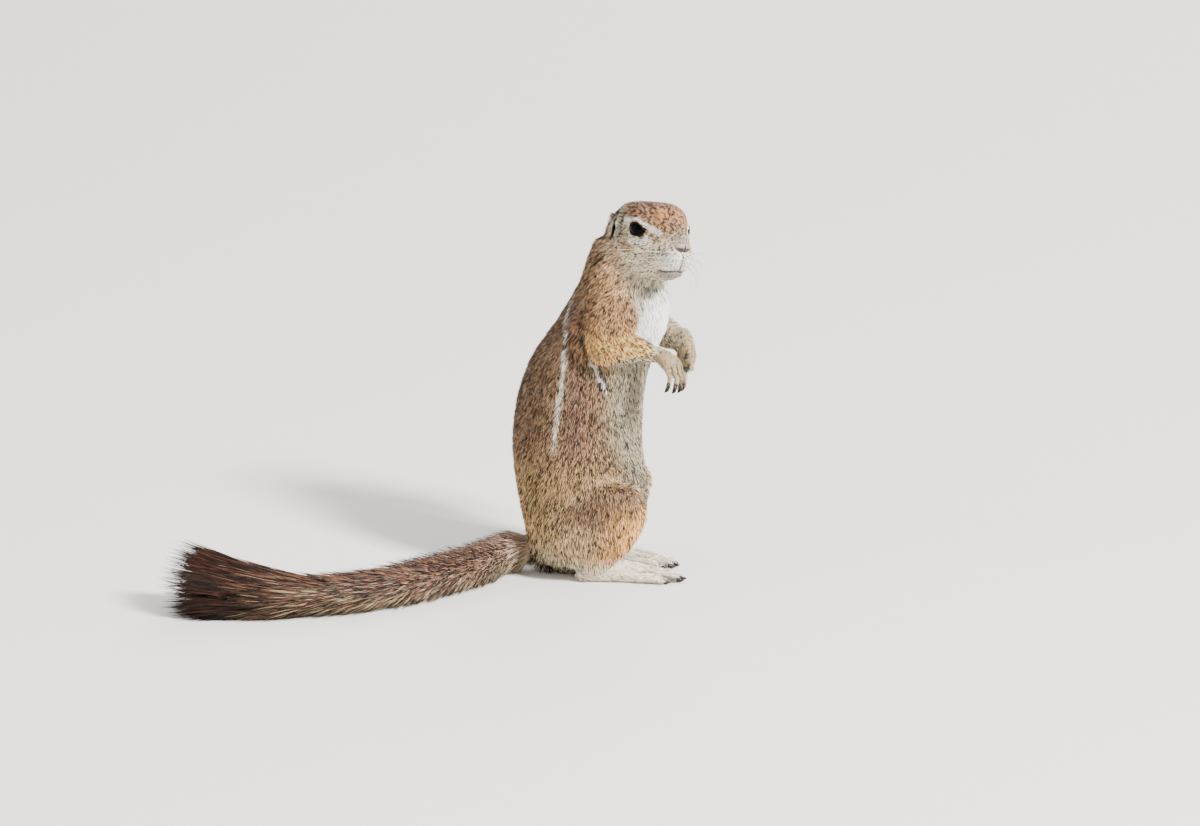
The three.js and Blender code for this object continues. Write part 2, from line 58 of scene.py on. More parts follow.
# ---- Hide --------------------------------------------------------------------------------
# The skin of the whole animal, in one piece from the muzzle to the tip of the tail. It lies
# inside the coat by the depth of the hair, so it shows only where the hair parts, and bare
# at the lids, the lips and the soles.

MM = 0.001
GRAIN = 0.7 * MM          # size of the smallest form kept in the hide
OVERLAP = 0.4 * MM        # neighbouring parts are swelled by this, so that they join
HIDE_TRIANGLES = 150000


def srgb(code):
    """A hex colour, turned linear."""
    parts = [int(code[i:i + 2], 16) / 255 for i in (1, 3, 5)]
    return np.array([c / 12.92 if c <= 0.04045 else ((c + 0.055) / 1.055) ** 2.4 for c in parts])


def unit(v):
    return v / np.maximum(np.linalg.norm(v, axis=-1, keepdims=True), 1e-9)


def step(low, high, x):
    """0 below low, 1 above high, smooth between."""
    t = np.clip((x - low) / (high - low), 0, 1)
    return t * t * (3 - 2 * t)


def hump(x, middle, width):
    return np.exp(-(((x - middle) / width) ** 2))


def new_piece(name, points, faces):
    mesh = bpy.data.meshes.new(name)
    mesh.from_pydata([tuple(p) for p in points], [], [tuple(f) for f in faces])
    mesh.validate()
    piece = bpy.data.objects.new(name, mesh)
    bpy.context.scene.collection.objects.link(piece)
    return piece


def remember(mesh, name, values):
    """Keeps a number, a direction or a colour for each point of a mesh."""
    values = np.asarray(values, np.float32)
    kind, word = {1: ("FLOAT", "value"), 3: ("FLOAT_VECTOR", "vector"), 4: ("FLOAT_COLOR", "color")}[
        1 if values.ndim == 1 else values.shape[1]]
    mesh.attributes.new(name, kind, "POINT").data.foreach_set(word, values.ravel())


def coords(mesh):
    out = np.empty(len(mesh.vertices) * 3, np.float32)
    mesh.vertices.foreach_get("co", out)
    return out.reshape(-1, 3).astype(float)


def set_coords(mesh, places):
    mesh.vertices.foreach_set("co", places.astype(np.float32).ravel())
    mesh.update()


def normals(mesh):
    out = np.empty(len(mesh.vertices) * 3, np.float32)
    mesh.vertex_normals.foreach_get("vector", out)
    return out.reshape(-1, 3).astype(float)


def spline(stops, count):
    """Smooth values at `count` even steps through the rows of stops."""
    stops = np.array(stops, float)
    padded = np.vstack([2 * stops[0] - stops[1], stops, 2 * stops[-1] - stops[-2]])
    at = np.linspace(0, len(stops) - 1 - 1e-9, count)
    i = at.astype(int)
    t = (at - i)[:, None]
    a, b, c, d = (padded[i + k] for k in range(4))
    return b + 0.5 * t * (c - a + t * (2 * a - 5 * b + 4 * c - d + t * (3 * (b - c) + d - a)))


def between_rings(count, sides, first=0):
    """The faces between rings of points that follow one another, the first point at `first`."""
    faces = []
    for a in range(first, first + (count - 1) * sides, sides):
        for k in range(sides):
            n = (k + 1) % sides
            faces.append((a + k, a + n, a + sides + n, a + sides + k))
    return faces


def limb(stops, flat=(0, 0, 1), sides=16, rows=16):
    """A closed oval tube with round ends. Stops are x, y, z, half breadth, half thickness."""
    line = spline(stops, rows)
    middle, size = line[:, :3], line[:, 3:]
    along = unit(np.gradient(middle, axis=0))
    domes = [(d, math.sqrt(1 - d * d)) for d in (0.25, 0.6, 0.85, 0.97)]
    start = [(middle[0] - along[0] * size[0].min() * d, along[0], size[0] * r) for d, r in domes[::-1]]
    end = [(middle[-1] + along[-1] * size[-1].min() * d, along[-1], size[-1] * r) for d, r in domes]
    rings = start + list(zip(middle, along, size)) + end
    points = []
    for centre, forward, (broad, thick) in rings:
        up = unit(np.array(flat, float) - forward * np.dot(flat, forward))
        across = np.cross(up, forward)
        for k in range(sides):
            turn = 2 * math.pi * k / sides
            points.append(centre + across * broad * math.cos(turn) + up * thick * math.sin(turn))
    last = len(points)
    points += [middle[0] - along[0] * size[0].min(), middle[-1] + along[-1] * size[-1].min()]
    faces = between_rings(len(rings), sides)
    top = last - sides
    for k in range(sides):
        n = (k + 1) % sides
        faces += [(last, n, k), (last + 1, top + k, top + n)]
    return np.array(points), faces


def joined(parts):
    """Several lists of points and faces as one."""
    points, faces = [], []
    for more_points, more_faces in parts:
        shift = sum(len(p) for p in points)
        points.append(np.asarray(more_points, float))
        faces += [tuple(i + shift for i in face) for face in more_faces]
    return np.vstack(points), faces


def placed(part, matrix):
    points, faces = part
    rows = np.array(matrix)
    return points @ rows[:3, :3].T + rows[:3, 3], faces


def turned_place(place, forward, back):
    """A frame at a place, with +X along forward and +Z along back, made square to it."""
    x = unit(np.array(forward, float))
    z = unit(np.array(back, float) - x * np.dot(back, x))
    rows = np.eye(4)
    rows[:3, 0], rows[:3, 1], rows[:3, 2], rows[:3, 3] = x, np.cross(z, x), z, place
    return Matrix(rows.tolist())


# Head, in millimetres: +X to the nose, +Y to its left, from the middle between the eyes.
HEAD_PLACE = Matrix.Translation((60.5, -14, 216.2)) @ (
    Matrix.Rotation(math.radians(-48), 4, "Z")
    @ Matrix.Rotation(math.radians(-9), 4, "Y")
    @ Matrix.Rotation(math.radians(-11), 4, "X")
)
head_turn = np.array(HEAD_PLACE)[:3, :3]
SIDES = ((-1, "right"), (1, "left"))
# Hands, from the wrist to the knuckles, and feet, from the heel to the toes.
HAND_PLACES = {
    "right": turned_place((61, -26.5, 141), (0.71, -0.615, -0.34), (0.323, -0.14, 0.928)),
    "left": turned_place((69.2, 16.5, 140.5), (0.12, 0, -0.99), (0.5, 0.86, 0.06)),
}
HAND_CURL = {"right": 0.2, "left": 0.7}
TOES_IN = math.radians(8)
FOOT_PLACES = {
    "right": turned_place((12, -23.5, 0), (math.cos(TOES_IN), math.sin(TOES_IN), 0), (0, 0, 1)),
    "left": turned_place((4, 22.5, 0), (math.cos(TOES_IN), -math.sin(TOES_IN), 0), (0, 0, 1)),
}


def fingers(curl, thumb):
    """Knuckle, bend, tip and radius of each finger, thumb last, and how far its claw drops."""
    found = []
    spread = 1.12
    for y, reach in zip((-5.4, -1.9, 1.8, 5.2), (-1.2, 0.6, 0.5, -1.0)):
        found.append((
            (14.5 + reach, y, -1.2),
            (19.4 + reach - 2.5 * curl, y * spread, -3.0),
            (21.6 + reach - 6.5 * curl, y * spread * 1.06, -8 + 1.2 * curl),
            1.65, -1.2 * curl,
        ))
    found.append(((5, thumb * 4.8, -2), (7.4, thumb * 5.8, -3.6), (8.6, thumb * 5.6, -5.6), 1.4, 0.0))
    return found


def toes(side):
    """The same for a foot. Side is -1 for the right foot, whose inner toe is on its left."""
    found = []
    for y, short in zip((-7.2, -3.7, 0, 3.6, 6.8), (11, 3, 1, 2.5, 7)):
        tip, out = 60 - short, -side * y
        found.append((
            (tip - 14, out * 0.9, 3.4), (tip - 6.5, out * 1.1, 4.0), (tip, out * 1.2, 2.3), 2.35, 0.5,
        ))
    return found


def digit(knuckle, bend, tip, radius):
    """One finger or toe: full at the knuckle, narrow between, with a pad at its end."""
    stops = [
        (*knuckle, radius, radius * 0.95),
        (*np.add(knuckle, bend) / 2, radius * 0.86, radius * 0.84),
        (*bend, radius * 0.95, radius * 0.92),
        (*(np.array(bend) * 0.45 + np.array(tip) * 0.55), radius * 0.8, radius * 0.8),
        (*tip, radius * 0.82, radius * 0.82),
    ]
    return limb(stops, sides=12, rows=14)


# Each paw: its palm or sole, its digits and its place.
PALM = [(-3, 0, 0.3, 4.8, 4.1), (4, 0, 1, 6, 4.8), (10.5, 0, 0.6, 6.9, 4.4), (14.5, 0, -0.9, 6.4, 2.7)]
SOLE = [
    (3, 0, 6.2, 5.4, 5.6), (13, 0, 7.4, 6.6, 7.4), (24, 0, 6.2, 7, 6.4), (36, 0, 4.8, 8, 5),
    (46, 0, 3.7, 8, 3.9),
]
PAWS = {}
for side, word in SIDES:
    PAWS["hand_" + word] = PALM, fingers(HAND_CURL[word], -side), HAND_PLACES[word]
    PAWS["foot_" + word] = SOLE, toes(side), FOOT_PLACES[word]
THUMB = 1.5               # only a thumb's radius is less

# The tail's middle line and the radius of bone and flesh, along the floor.
TAIL_LINE = [
    (-15, 0, 15.5), (-33, -11, 12.5), (-50, -41, 11.6), (-76, -76, 11.8), (-104, -102, 12),
    (-133, -117, 12.8), (-162, -122, 15), (-190, -121, 18.5), (-223, -115, 25),
]
TAIL_FLESH = [(0, 7.4), (0.15, 6.4), (0.4, 5.6), (0.6, 4.8), (0.77, 3.4)]
tail_fine = spline(TAIL_LINE, 400)
tail_run = np.concatenate([[0], np.cumsum(np.linalg.norm(np.diff(tail_fine, axis=0), axis=1))])
tail_share = tail_run / tail_run[-1]
tail_ways = unit(np.gradient(tail_fine, axis=0))


def nearest_on_tail(spots):
    """The number of the tail's fine stop nearest to each place in millimetres."""
    return np.array([np.argmin(((tail_fine - spot) ** 2).sum(1)) for spot in spots])


def cad_part(name):
    """A CAD part's shape, merged and swelled a little."""
    form = bmesh.new()
    form.from_mesh(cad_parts[name].data)
    bmesh.ops.remove_doubles(form, verts=form.verts, dist=2e-6)
    form.normal_update()
    points = np.array([v.co + v.normal * OVERLAP for v in form.verts]) / MM
    faces = [tuple(v.index for v in f.verts) for f in form.faces]
    form.free()
    return points, faces


REDRAWN = ("hand_", "foot_", "tail_")     # parts that are drawn anew below, finer
flesh = {name: cad_part(name) for name in sorted(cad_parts) if not name.startswith(REDRAWN)}
for name, (palm, digits, place) in PAWS.items():
    flesh[name] = placed(joined([limb(palm)] + [digit(*found[:4]) for found in digits]), place)
shares = np.linspace(0, TAIL_FLESH[-1][0], 26)
radii = np.interp(shares, *zip(*TAIL_FLESH))
line = np.stack([np.interp(shares, tail_share, tail_fine[:, k]) for k in range(3)], -1)
flesh["tail"] = limb([(*p, r, r) for p, r in zip(line, radii)], rows=60)
part_names = list(flesh)
all_points, all_faces = joined(flesh.values())
part_of_face = np.repeat(np.arange(len(flesh)), [len(faces) for _, faces in flesh.values()])
part_tree = BVHTree.FromPolygons((all_points * MM).tolist(), all_faces)

hide = new_piece("hide", all_points * MM, all_faces)


def settled(piece):
    """The piece's mesh with its modifiers made part of it."""
    graph = bpy.context.evaluated_depsgraph_get()
    mesh = bpy.data.meshes.new_from_object(piece.evaluated_get(graph))
    old = piece.data
    piece.modifiers.clear()
    piece.data = mesh
    bpy.data.meshes.remove(old)
    return mesh


skin_over = hide.modifiers.new("skin over", "REMESH")
skin_over.mode = "VOXEL"
skin_over.voxel_size = GRAIN
settled(hide)


def part_index(places):
    """Which part each place is nearest to."""
    found = np.empty(len(places), int)
    for i, place in enumerate(places.tolist()):
        found[i] = part_of_face[part_tree.find_nearest(place)[2]]
    return found


def by_part(values, default):
    """A value for each part, by the start of its name."""
    out = []
    for name in part_names:
        keys = [key for key in values if name.startswith(key)]
        out.append(values[max(keys, key=len)] if keys else default)
    return np.array(out, float)


class Net:
    """The edges of a mesh, to spread or smooth values over it."""

    def __init__(self, mesh):
        edges = np.empty(len(mesh.edges) * 2, np.int32)
        mesh.edges.foreach_get("vertices", edges)
        pairs = edges.reshape(-1, 2)
        self.ends = np.concatenate([pairs[:, 0], pairs[:, 1]])
        self.others = np.concatenate([pairs[:, 1], pairs[:, 0]])
        self.size = len(mesh.vertices)
        self.count = np.maximum(np.bincount(self.ends, minlength=self.size), 1)

    def mean(self, values):
        if values.ndim == 1:
            return np.bincount(self.ends, values[self.others], self.size) / self.count
        return np.stack([self.mean(values[:, k]) for k in range(values.shape[1])], 1)

    def spread(self, values, times, share=0.5):
        share = np.asarray(share)
        weight = share[:, None] if share.ndim and values.ndim > 1 else share
        for _ in range(times):
            values = values + weight * (self.mean(values) - values)
        return values


# The parts' flat facets and the creases between them are smoothed away, least on the head
# and not at all on fingers and toes.
mesh = hide.data
parts = part_index(coords(mesh))
net = Net(mesh)
softness = net.spread(by_part({"head": 0.35, "ear": 0.12, "nose": 0.3, "eye": 0.3, "hand": 0.05,
                               "foot": 0.1, "tail": 0.3, "forearm": 0.8}, 1.0)[parts], 12)
places = net.spread(coords(mesh), 30, 0.6 * softness)
set_coords(mesh, places)

# Fewer, larger faces where the coat is long.
fine = by_part({"head": 1, "ear": 1, "nose": 1, "eye": 1, "hand": 1, "foot": 0.9}, 0.0)
fine = net.spread(fine[parts], 6)
coarse = hide.vertex_groups.new(name="coarse")
for weight in range(11):
    members = np.flatnonzero(np.round(10 * (1 - fine)) == weight)
    coarse.add(members.tolist(), weight / 10, "REPLACE")
fewer = hide.modifiers.new("fewer faces", "DECIMATE")
fewer.ratio = HIDE_TRIANGLES / (2 * len(mesh.polygons))
fewer.vertex_group = "coarse"
fewer.use_collapse_triangulate = True
settled(hide)
hide.vertex_groups.clear()
mesh = hide.data
net = Net(mesh)
parts = part_index(coords(mesh))

# The hide lies below the tips of the coat by this much, in millimetres.
depth = by_part({
    "head": 1.0, "nose": 0.9, "eye": 0.3, "ear": 0.35, "neck": 2.4, "chest": 2.6, "belly": 2.6,
    "rump": 2.6, "upper_arm": 2.3, "forearm": 1.5, "hand": 0.15, "thigh": 2.5, "shank": 1.7,
    "foot": 0.3, "tail": 0.0,
}, 2.5)[parts]
swelled = by_part({"hand": 0, "foot": 0, "tail": 0}, 1.0)[parts]
depth = net.spread(depth + swelled * 0.6 * OVERLAP / MM, 25) * MM
places = coords(mesh)
depth *= step(0, 4 * MM, places[:, 2])
places = places - normals(mesh) * depth[:, None]
places = net.spread(places, 4, 0.4 * by_part({"hand": 0.1, "foot": 0.1, "ear": 0.2}, 1.0)[parts])
places[:, 2] = np.maximum(places[:, 2], 0.0)
set_coords(mesh, places)

# The face is cut finer, for lids, lips and whisker pads.
EYE_RADIUS = 5.6
EYES = {"right": np.array([-2.4, -14.6, -0.8]), "left": np.array([-2.4, 14.6, -0.8])}
head_rows = np.array(HEAD_PLACE.inverted())


def in_head(places):
    """Places in metres as places on the head, in its own millimetres."""
    return places / MM @ head_rows[:3, :3].T + head_rows[:3, 3]


form = bmesh.new()
form.from_mesh(mesh)
on_head = in_head(np.array([v.co for v in form.verts]))
near_eye = np.min([np.linalg.norm(on_head - eye, axis=1) for eye in EYES.values()], axis=0) < 9.5
ear_middle = np.abs(on_head) * [0, 1, 0] + on_head * [1, 0, 1] - [-25.5, 17, -1.5]
wanted = near_eye | ((on_head[:, 0] > 9) & (on_head[:, 2] > -34) & (np.abs(on_head[:, 1]) < 15))
wanted |= np.linalg.norm(ear_middle, axis=1) < 9
chosen = [e for e in form.edges if wanted[e.verts[0].index] and wanted[e.verts[1].index]]
bmesh.ops.subdivide_edges(form, edges=chosen, cuts=1, use_grid_fill=True, smooth=0.3)
bmesh.ops.triangulate(form, faces=[f for f in form.faces if len(f.verts) > 3])
form.to_mesh(mesh)
form.free()
net = Net(mesh)
parts = part_index(coords(mesh))


def eye_frame(side):
    """Outward, forward and upward at an eye, in the head's own directions."""
    out = unit(np.array([0.3, 0.93 * side, -0.12]))
    forward = unit(np.array([1, 0, -0.1]) - out * np.dot(out, [1, 0, -0.1]))
    return out, forward, np.cross(forward, out) * side


def lid_line(turn):
    """Reach of the open eye, along the eyeball: an almond that points to the nose and down."""
    corner = np.maximum(0, np.cos(turn)) ** 3
    return 6.0 * np.cos(turn) + 1.3 * corner, 4.0 * np.sin(turn) - 2.1 * corner


reach_x, reach_y = lid_line(np.linspace(0, 2 * math.pi, 181)[:-1])
reach_angle = np.arctan2(reach_y, reach_x)
in_order = np.argsort(reach_angle)


def over_eye(points, side, word):
    """Which points are near one eye, and how far out over it as a share of the way to its lid."""
    near = (np.linalg.norm(points - EYES[word], axis=1) < 10) & (points[:, 1] * side > 0)
    out, forward, up = eye_frame(side)
    ray = unit(points - EYES[word])
    reach = EYE_RADIUS * np.arccos(np.clip(ray @ out, -1, 1))
    turn = np.arctan2(ray @ up, ray @ forward)
    line = np.interp(turn, reach_angle[in_order], np.hypot(reach_x, reach_y)[in_order], period=2 * math.pi)
    return near, reach / line


# Forms of the face, by how far they stand out or sink in, in millimetres.
on_head = in_head(coords(mesh))
shift = np.zeros(len(on_head))
x, y, z = on_head.T
side_y = np.abs(y)


def blob(cx, cy, cz, size):
    return hump(x, cx, size) * hump(side_y, cy, size) * hump(z, cz, size)


mouth_height = -24.0 - 0.9 * hump(x, 16.0, 4.5)
from_mouth = z - mouth_height
at_mouth = step(10.5, 13.5, x)
for height, *spot in (
    (0.8, 19.0, 6.0, -17.5, 4.5),       # whisker pads
    (0.7, -6, 20, -16, 7),              # cheeks
    (0.9, -3, 15, 7, 4.5),              # brows
    (2.2, 7.5, 12, 9.5, 5),             # their front ends, over the nose
    (1.8, -27, 12, -3, 9),              # nape behind the ears
    (2.8, -31, 19, -12, 7),
    (1.6, -21, 12, 11, 7),              # crown over the ears
    (1.0, 4, 3, 13, 9),                 # crown
):
    shift += height * blob(*spot)
ear_line = np.interp(z, (-8, -5, -1.1, 5.2), (-24.8, -22.8, -22.4, -24.4))
at_ear = step(-10, -7, z) * (1 - step(4.5, 7, z)) * step(11, 14, side_y)
shift -= 2.8 * hump(x - ear_line, 0, 1.5) * at_ear                   # slit of the ear
shift += 1.1 * hump(x - ear_line, -3.8, 2.0) * at_ear                # its flap
shift += 0.5 * hump(x - ear_line, 3.4, 1.3) * at_ear                 # and its front edge
shift -= 1.2 * hump(z, -13.6, 1.8) * hump(side_y, 2.5, 4) * step(19, 22, x)   # under the nose
shift -= 0.5 * blob(8, 13, -9, 4.5)                                  # hollow in front of the cheek
shift += 0.5 * blob(17, 0, -28, 4.5)                                 # chin
shift -= 1.0 * at_mouth * hump(from_mouth, 0, 0.55)
shift += 0.35 * at_mouth * (hump(from_mouth, 1.5, 0.9) + hump(from_mouth, -1.5, 0.9))
shift -= 0.7 * hump(y, 0, 0.55) * step(20, 21.5, x) * step(-24, -22.5, z) * (1 - step(-13.5, -12, z))
places = coords(mesh) + normals(mesh) * (shift * MM)[:, None]
on_head = in_head(places)
for side, word in SIDES:
    near, share = over_eye(on_head, side, word)
    away = np.linalg.norm(on_head - EYES[word], axis=1)
    lid = EYE_RADIUS + 0.25 + 0.45 * np.exp(-np.maximum(share - 1, 0) / 0.15)
    slope = lid + (np.maximum(away, lid) - lid) * step(0.95, 1.75, share)
    sunk = np.where(share < 1, EYE_RADIUS - 1.2, slope)
    moved = EYES[word] + unit(on_head - EYES[word]) * sunk[:, None]
    on_head = np.where((near & (share < 1.75))[:, None], moved, on_head)
places = placed((on_head, []), HEAD_PLACE)[0] * MM
set_coords(mesh, places)
mesh.polygons.foreach_set("use_smooth", [True] * len(mesh.polygons))

# Markings and painted shade, lie and length of the coat, told on the hide, so that skin and hair share
# them.
places = coords(mesh)
outward = normals(mesh)
on_head = in_head(places)
parts = part_index(places)
share_of_part = net.spread(np.eye(len(part_names))[parts], 14)


def member(*starts):
    """How much each place belongs to the parts whose names start so."""
    return share_of_part[:, [name.startswith(starts) for name in part_names]].sum(1)


px, py, pz = (places / MM).T
middle_x = np.interp(
    pz, (0, 9, 20, 35, 57, 77, 95, 114, 134, 154, 168, 188, 213),
    (2, 8, 11, 11.5, 10, 7.5, 8, 10.5, 17, 27.5, 32.5, 36.5, 44))
off_front = np.abs(np.degrees(np.arctan2(py, px - middle_x)))    # 0 in front, 90 at a side, 180 behind

along_tail, tail_way = np.zeros(len(places)), np.zeros((len(places), 3))
on_tail = member("tail") > 0.02
tail_stop = nearest_on_tail((places / MM)[on_tail])
along_tail[on_tail], tail_way[on_tail] = tail_share[tail_stop], tail_ways[tail_stop]


def toward(*way):
    return unit(np.array(way, float))


# Which way the hair lies on each part.
hx, hy, hz = on_head.T
lie = np.zeros((len(places), 3))
head_back = np.stack([
    -np.ones(len(places)), 0.25 * np.sign(hy) * step(2, 12, np.abs(hy)), -0.35 * step(2, -16, hz),
], 1)
lies = {
    ("head", "nose", "eye"): unit(head_back @ head_turn.T), ("ear",): head_turn @ [-0.5, 0, 1],
    ("neck",): toward(-0.45, 0, -1), ("chest", "belly"): toward(-0.16, 0, -1),
    ("rump",): toward(-0.35, 0, -1), ("thigh",): toward(0.05, 0, -1), ("shank",): toward(-0.1, 0, -1),
    ("upper_arm",): toward(-0.15, 0, -1), ("forearm_right",): toward(1, 0.2, -0.35),
    ("forearm_left",): toward(0.8, -0.55, -0.45),
}
for _, word in SIDES:
    lies[("hand_" + word,)] = np.array(HAND_PLACES[word])[:3, :3] @ [1, 0, -0.3 - HAND_CURL[word]]
    lies[("foot_" + word,)] = np.array(FOOT_PLACES[word])[:3, 0]
lies[("tail",)] = tail_way
for starts, way in lies.items():
    lie += member(*starts)[:, None] * way
lie = unit(lie - outward * (lie * outward).sum(1, keepdims=True))
lie = net.spread(lie, 10)
lie = unit(lie - outward * (lie * outward).sum(1, keepdims=True))


def laid_over(colours, code, share):
    return colours + (srgb(code) - colours) * share[:, None]


def painted(base, *layers):
    """A base colour with others laid over it, each a hex colour and where it shows."""
    out = np.tile(srgb(base), (len(places), 1))
    for code, where in layers:
        out = laid_over(out, code, np.clip(where, 0, 1))
    return out


def streak(stops, reach, soft, where):
    """1 within reach of a line through the stops, fading to 0 over soft, in millimetres.
    How far the line lies above or below the hide hardly counts."""
    spots, facing = where
    stops = np.array(stops, float)
    away = np.full(len(spots), 1e9)
    for a, b in zip(stops[:-1], stops[1:]):
        t = np.clip(((spots - a) @ (b - a)) / ((b - a) @ (b - a)), 0, 1)
        off = spots - a - t[:, None] * (b - a)
        off -= 0.85 * facing * (off * facing).sum(1, keepdims=True)
        away = np.minimum(away, np.linalg.norm(off, axis=1))
    return 1 - step(reach, reach + soft, away)


def one_side(spots, facing, side):
    """Places and directions with both sides of the animal laid on one: -1 its right, 1 its left."""
    spots, facing = spots.copy(), facing.copy()
    facing[:, 1] *= side * np.sign(spots[:, 1])
    spots[:, 1] = side * np.abs(spots[:, 1])
    return spots, facing


# Where each marking of the torso lies, and where shade is painted under the chin and along the crease
# behind the arm.
front_reach = np.interp(
    pz, (0, 40, 60, 80, 101, 125, 150, 171, 184, 200), (60, 46, 34, 42, 53, 60, 66, 64, 50, 44))
front = 1 - step(-16, 16, off_front - front_reach)
white_reach = np.interp(pz, (134, 152, 163, 176, 188), (66, 70, 60, 46, 36))
white_chest = (1 - step(-12, 9, off_front - white_reach)) * step(134, 148, pz) * (1 - step(178, 188, pz))
stripe_at = np.interp(
    pz, (80, 87, 101, 119, 136.6, 151.5, 160.7, 174), (105, 104, 103, 106, 116, 134, 150, 168))
from_stripe = (off_front - stripe_at) * np.radians(1) * 36      # in millimetres, behind is positive
stripe_ends = step(80, 92, pz) * (1 - step(168, 176, pz))
stripe = (1 - step(0.7, 1.7, np.abs(from_stripe))) * stripe_ends
stripe_edge = hump(from_stripe, -3.1, 1.0) * step(135, 165, pz) * stripe_ends
below_stripe = hump(from_stripe, -11, 8) * stripe_ends
low = 1 - step(12, 34, pz)
on_body = functools.partial(streak, where=one_side(places / MM, outward, -1))
elbow_way = [(18.4, -32, 139.8), (23.4, -32.5, 133.3), (29.7, -30, 123)]
elbow_line = on_body(elbow_way, 0.8, 0.8)
elbow_edge_and_crease_shade = np.clip(on_body(elbow_way, 2.2, 1.0) - elbow_line, 0, 1)
behind_elbow = on_body([(7, -25, 161), (11, -28, 151), (15, -29.5, 143)], 1.3, 2.6)
# Painted shade: a dark line along the crease behind the upper arm, where it meets the flank.
arm_crease_way = [(8.3, -25, 171.7), (10.5, -28, 160.8), (15.1, -29.5, 148.6), elbow_way[0]]
arm_crease_shade = on_body(arm_crease_way, 1.3, 0.9)
arm_top = on_body([(34, -27, 156.4), (45.4, -27, 152.7), (56, -26.5, 148.9)], 1.4, 3.2)
# The elbow line's dark border and the painted crease shade share one mask.
elbow_edge_and_crease_shade = np.maximum(elbow_edge_and_crease_shade, arm_crease_shade)
throat_shade = on_body([(55, -14, 182), (50, -19, 184), (47, -21, 187)], 1.5, 4)

CREAM, EDGE_AND_SHADE, GREY, UMBER, STRAW = "#efe6d4", "#1f1713", "#8d8984", "#5c4334", "#cdbd9c"
torso = painted(
    "#a17c59",
    ("#7b5f49", hump(off_front, 180, 60)),
    ("#cda874", 1 - step(50, 95, pz)),
    ("#7c5a4a", 0.8 * below_stripe),
    ("#c58a60", 0.8 * behind_elbow),
    ("#a3977f", front),
    ("#fbf9f4", white_chest),
    (GREY, 0.6 * throat_shade),
    (STRAW, low),
    ("#251a15", 0.95 * stripe_edge),
    (CREAM, stripe),
    # dark border of the elbow line, and painted shade behind the arm
    (EDGE_AND_SHADE, 0.95 * elbow_edge_and_crease_shade),
    (CREAM, elbow_line),
)
# On the head, both sides alike.
on_face = functools.partial(streak, where=one_side(on_head, outward @ head_turn, 1))
brow_way = [(-13, 17, 3.6), (-7, 17, 3.9), (-1.5, 16.5, 3.4), (3.7, 14.7, 1.7), (8, 12.3, 0)]
brow_end = on_face([(3.7, 14.7, 1.2), (8, 12.3, -0.5), (12.7, 9.7, -2.7)], 0.9, 1.6)
brow_line = np.maximum(on_face(brow_way, 0.8, 1.0), 0.75 * brow_end)
under_line = on_face([(-4.8, 19.2, -8.3), (1.8, 17.8, -8.8), (6.4, 13.9, -6.6)], 1.0, 1.2)
ear_ground = on_face([(-16, 19, -2), (-13, 19.5, -7)], 2.5, 4)
dark_line = on_face([(-14.2, 16.8, 5.6), (-13.4, 18.2, 1)], 0.7, 0.8)
dark_line = np.maximum(dark_line, 0.4 * on_face([(-13.4, 18.2, 1), (-13.4, 19, -5)], 0.6, 1.2))
gold_patch = on_face([(-9, 19.7, -11.2), (-2, 18.6, -12.6)], 1.4, 3)
before_eye = on_face([(8, 12.6, -3.4), (12, 10.5, -8)], 0.8, 1.8)
# The ear's slit: bare, and painted near black as the shade in its opening.
shaded_ear_slit = on_face([(-24.0, 17.4, 3.2), (-22.4, 18.4, -1.1), (-22.8, 19, -5)], 1.3, 0.5)
shaded_ear_slit = np.maximum(shaded_ear_slit, on_face([(-22.8, 19, -5), (-25.4, 19.2, -8.5)], 0.7, 0.7))
ear_round = on_face([(-22.6, 17.5, 3), (-21.5, 19, -4.5)], 3.4, 1.6)
nape = step(-26, -29, hx) * step(-22, -12, hz)
ear_cream = on_face([(-19.8, 18.6, 0.5), (-19.8, 19.6, -4.5)], 0.9, 1.0)
behind_ear = step(-25, -27.5, hx) * step(-13, -9, hz)
crown = step(-1.6, 1.6, hz - np.interp(hx, (-24, -7, 6, 15), (5.6, 5.6, 1.4, -3.8)))
fore_crown = hump(hx, 15, 9) * (1 - step(9, 13, np.abs(hy)))
bridge = step(15, 19, hx) * (1 - step(-4, -1, hz)) * (1 - step(5, 8, np.abs(hy))) * step(-13, -9, hz)
lips = step(11, 16, hx) * (1 - step(-15, -11.5, hz))
chin = step(5, 12, hx) * (1 - step(-27, -25, hz))
philtrum = on_face([(24.6, 0, -14), (24.2, 0, -17), (21.0, 0, -23.8)], 0.35, 0.45)
mouth_height = -24.0 - 0.9 * hump(hx, 16.0, 4.5)
mouth = step(9.5, 12, hx) * hump(hz, mouth_height, 0.75)
in_rows = step(-0.2, 0.5, np.sin(hx * 2.6) * np.sin(hz * 3.1))
whisker_roots = on_face([(19, 8.6, -14.5), (8, 13, -15.5)], 2.2, 1.5) * in_rows
lids, by_eye, off_lids = np.zeros(len(places)), np.zeros(len(places)), np.ones(len(places))
for side, word in SIDES:
    near, share = over_eye(on_head, side, word)
    bare = 1.04 + 0.3 * step(0, 4.5, hx - EYES[word][0]) * (1 - step(-1, 2, hz - EYES[word][2]))
    lids += near * (1 - step(-0.02, 0.05, share - bare))
    by_eye += near * (1 - step(0.1, 0.9, share - bare))
    off_lids = np.where(near, step(0, 0.1, share - bare), off_lids)
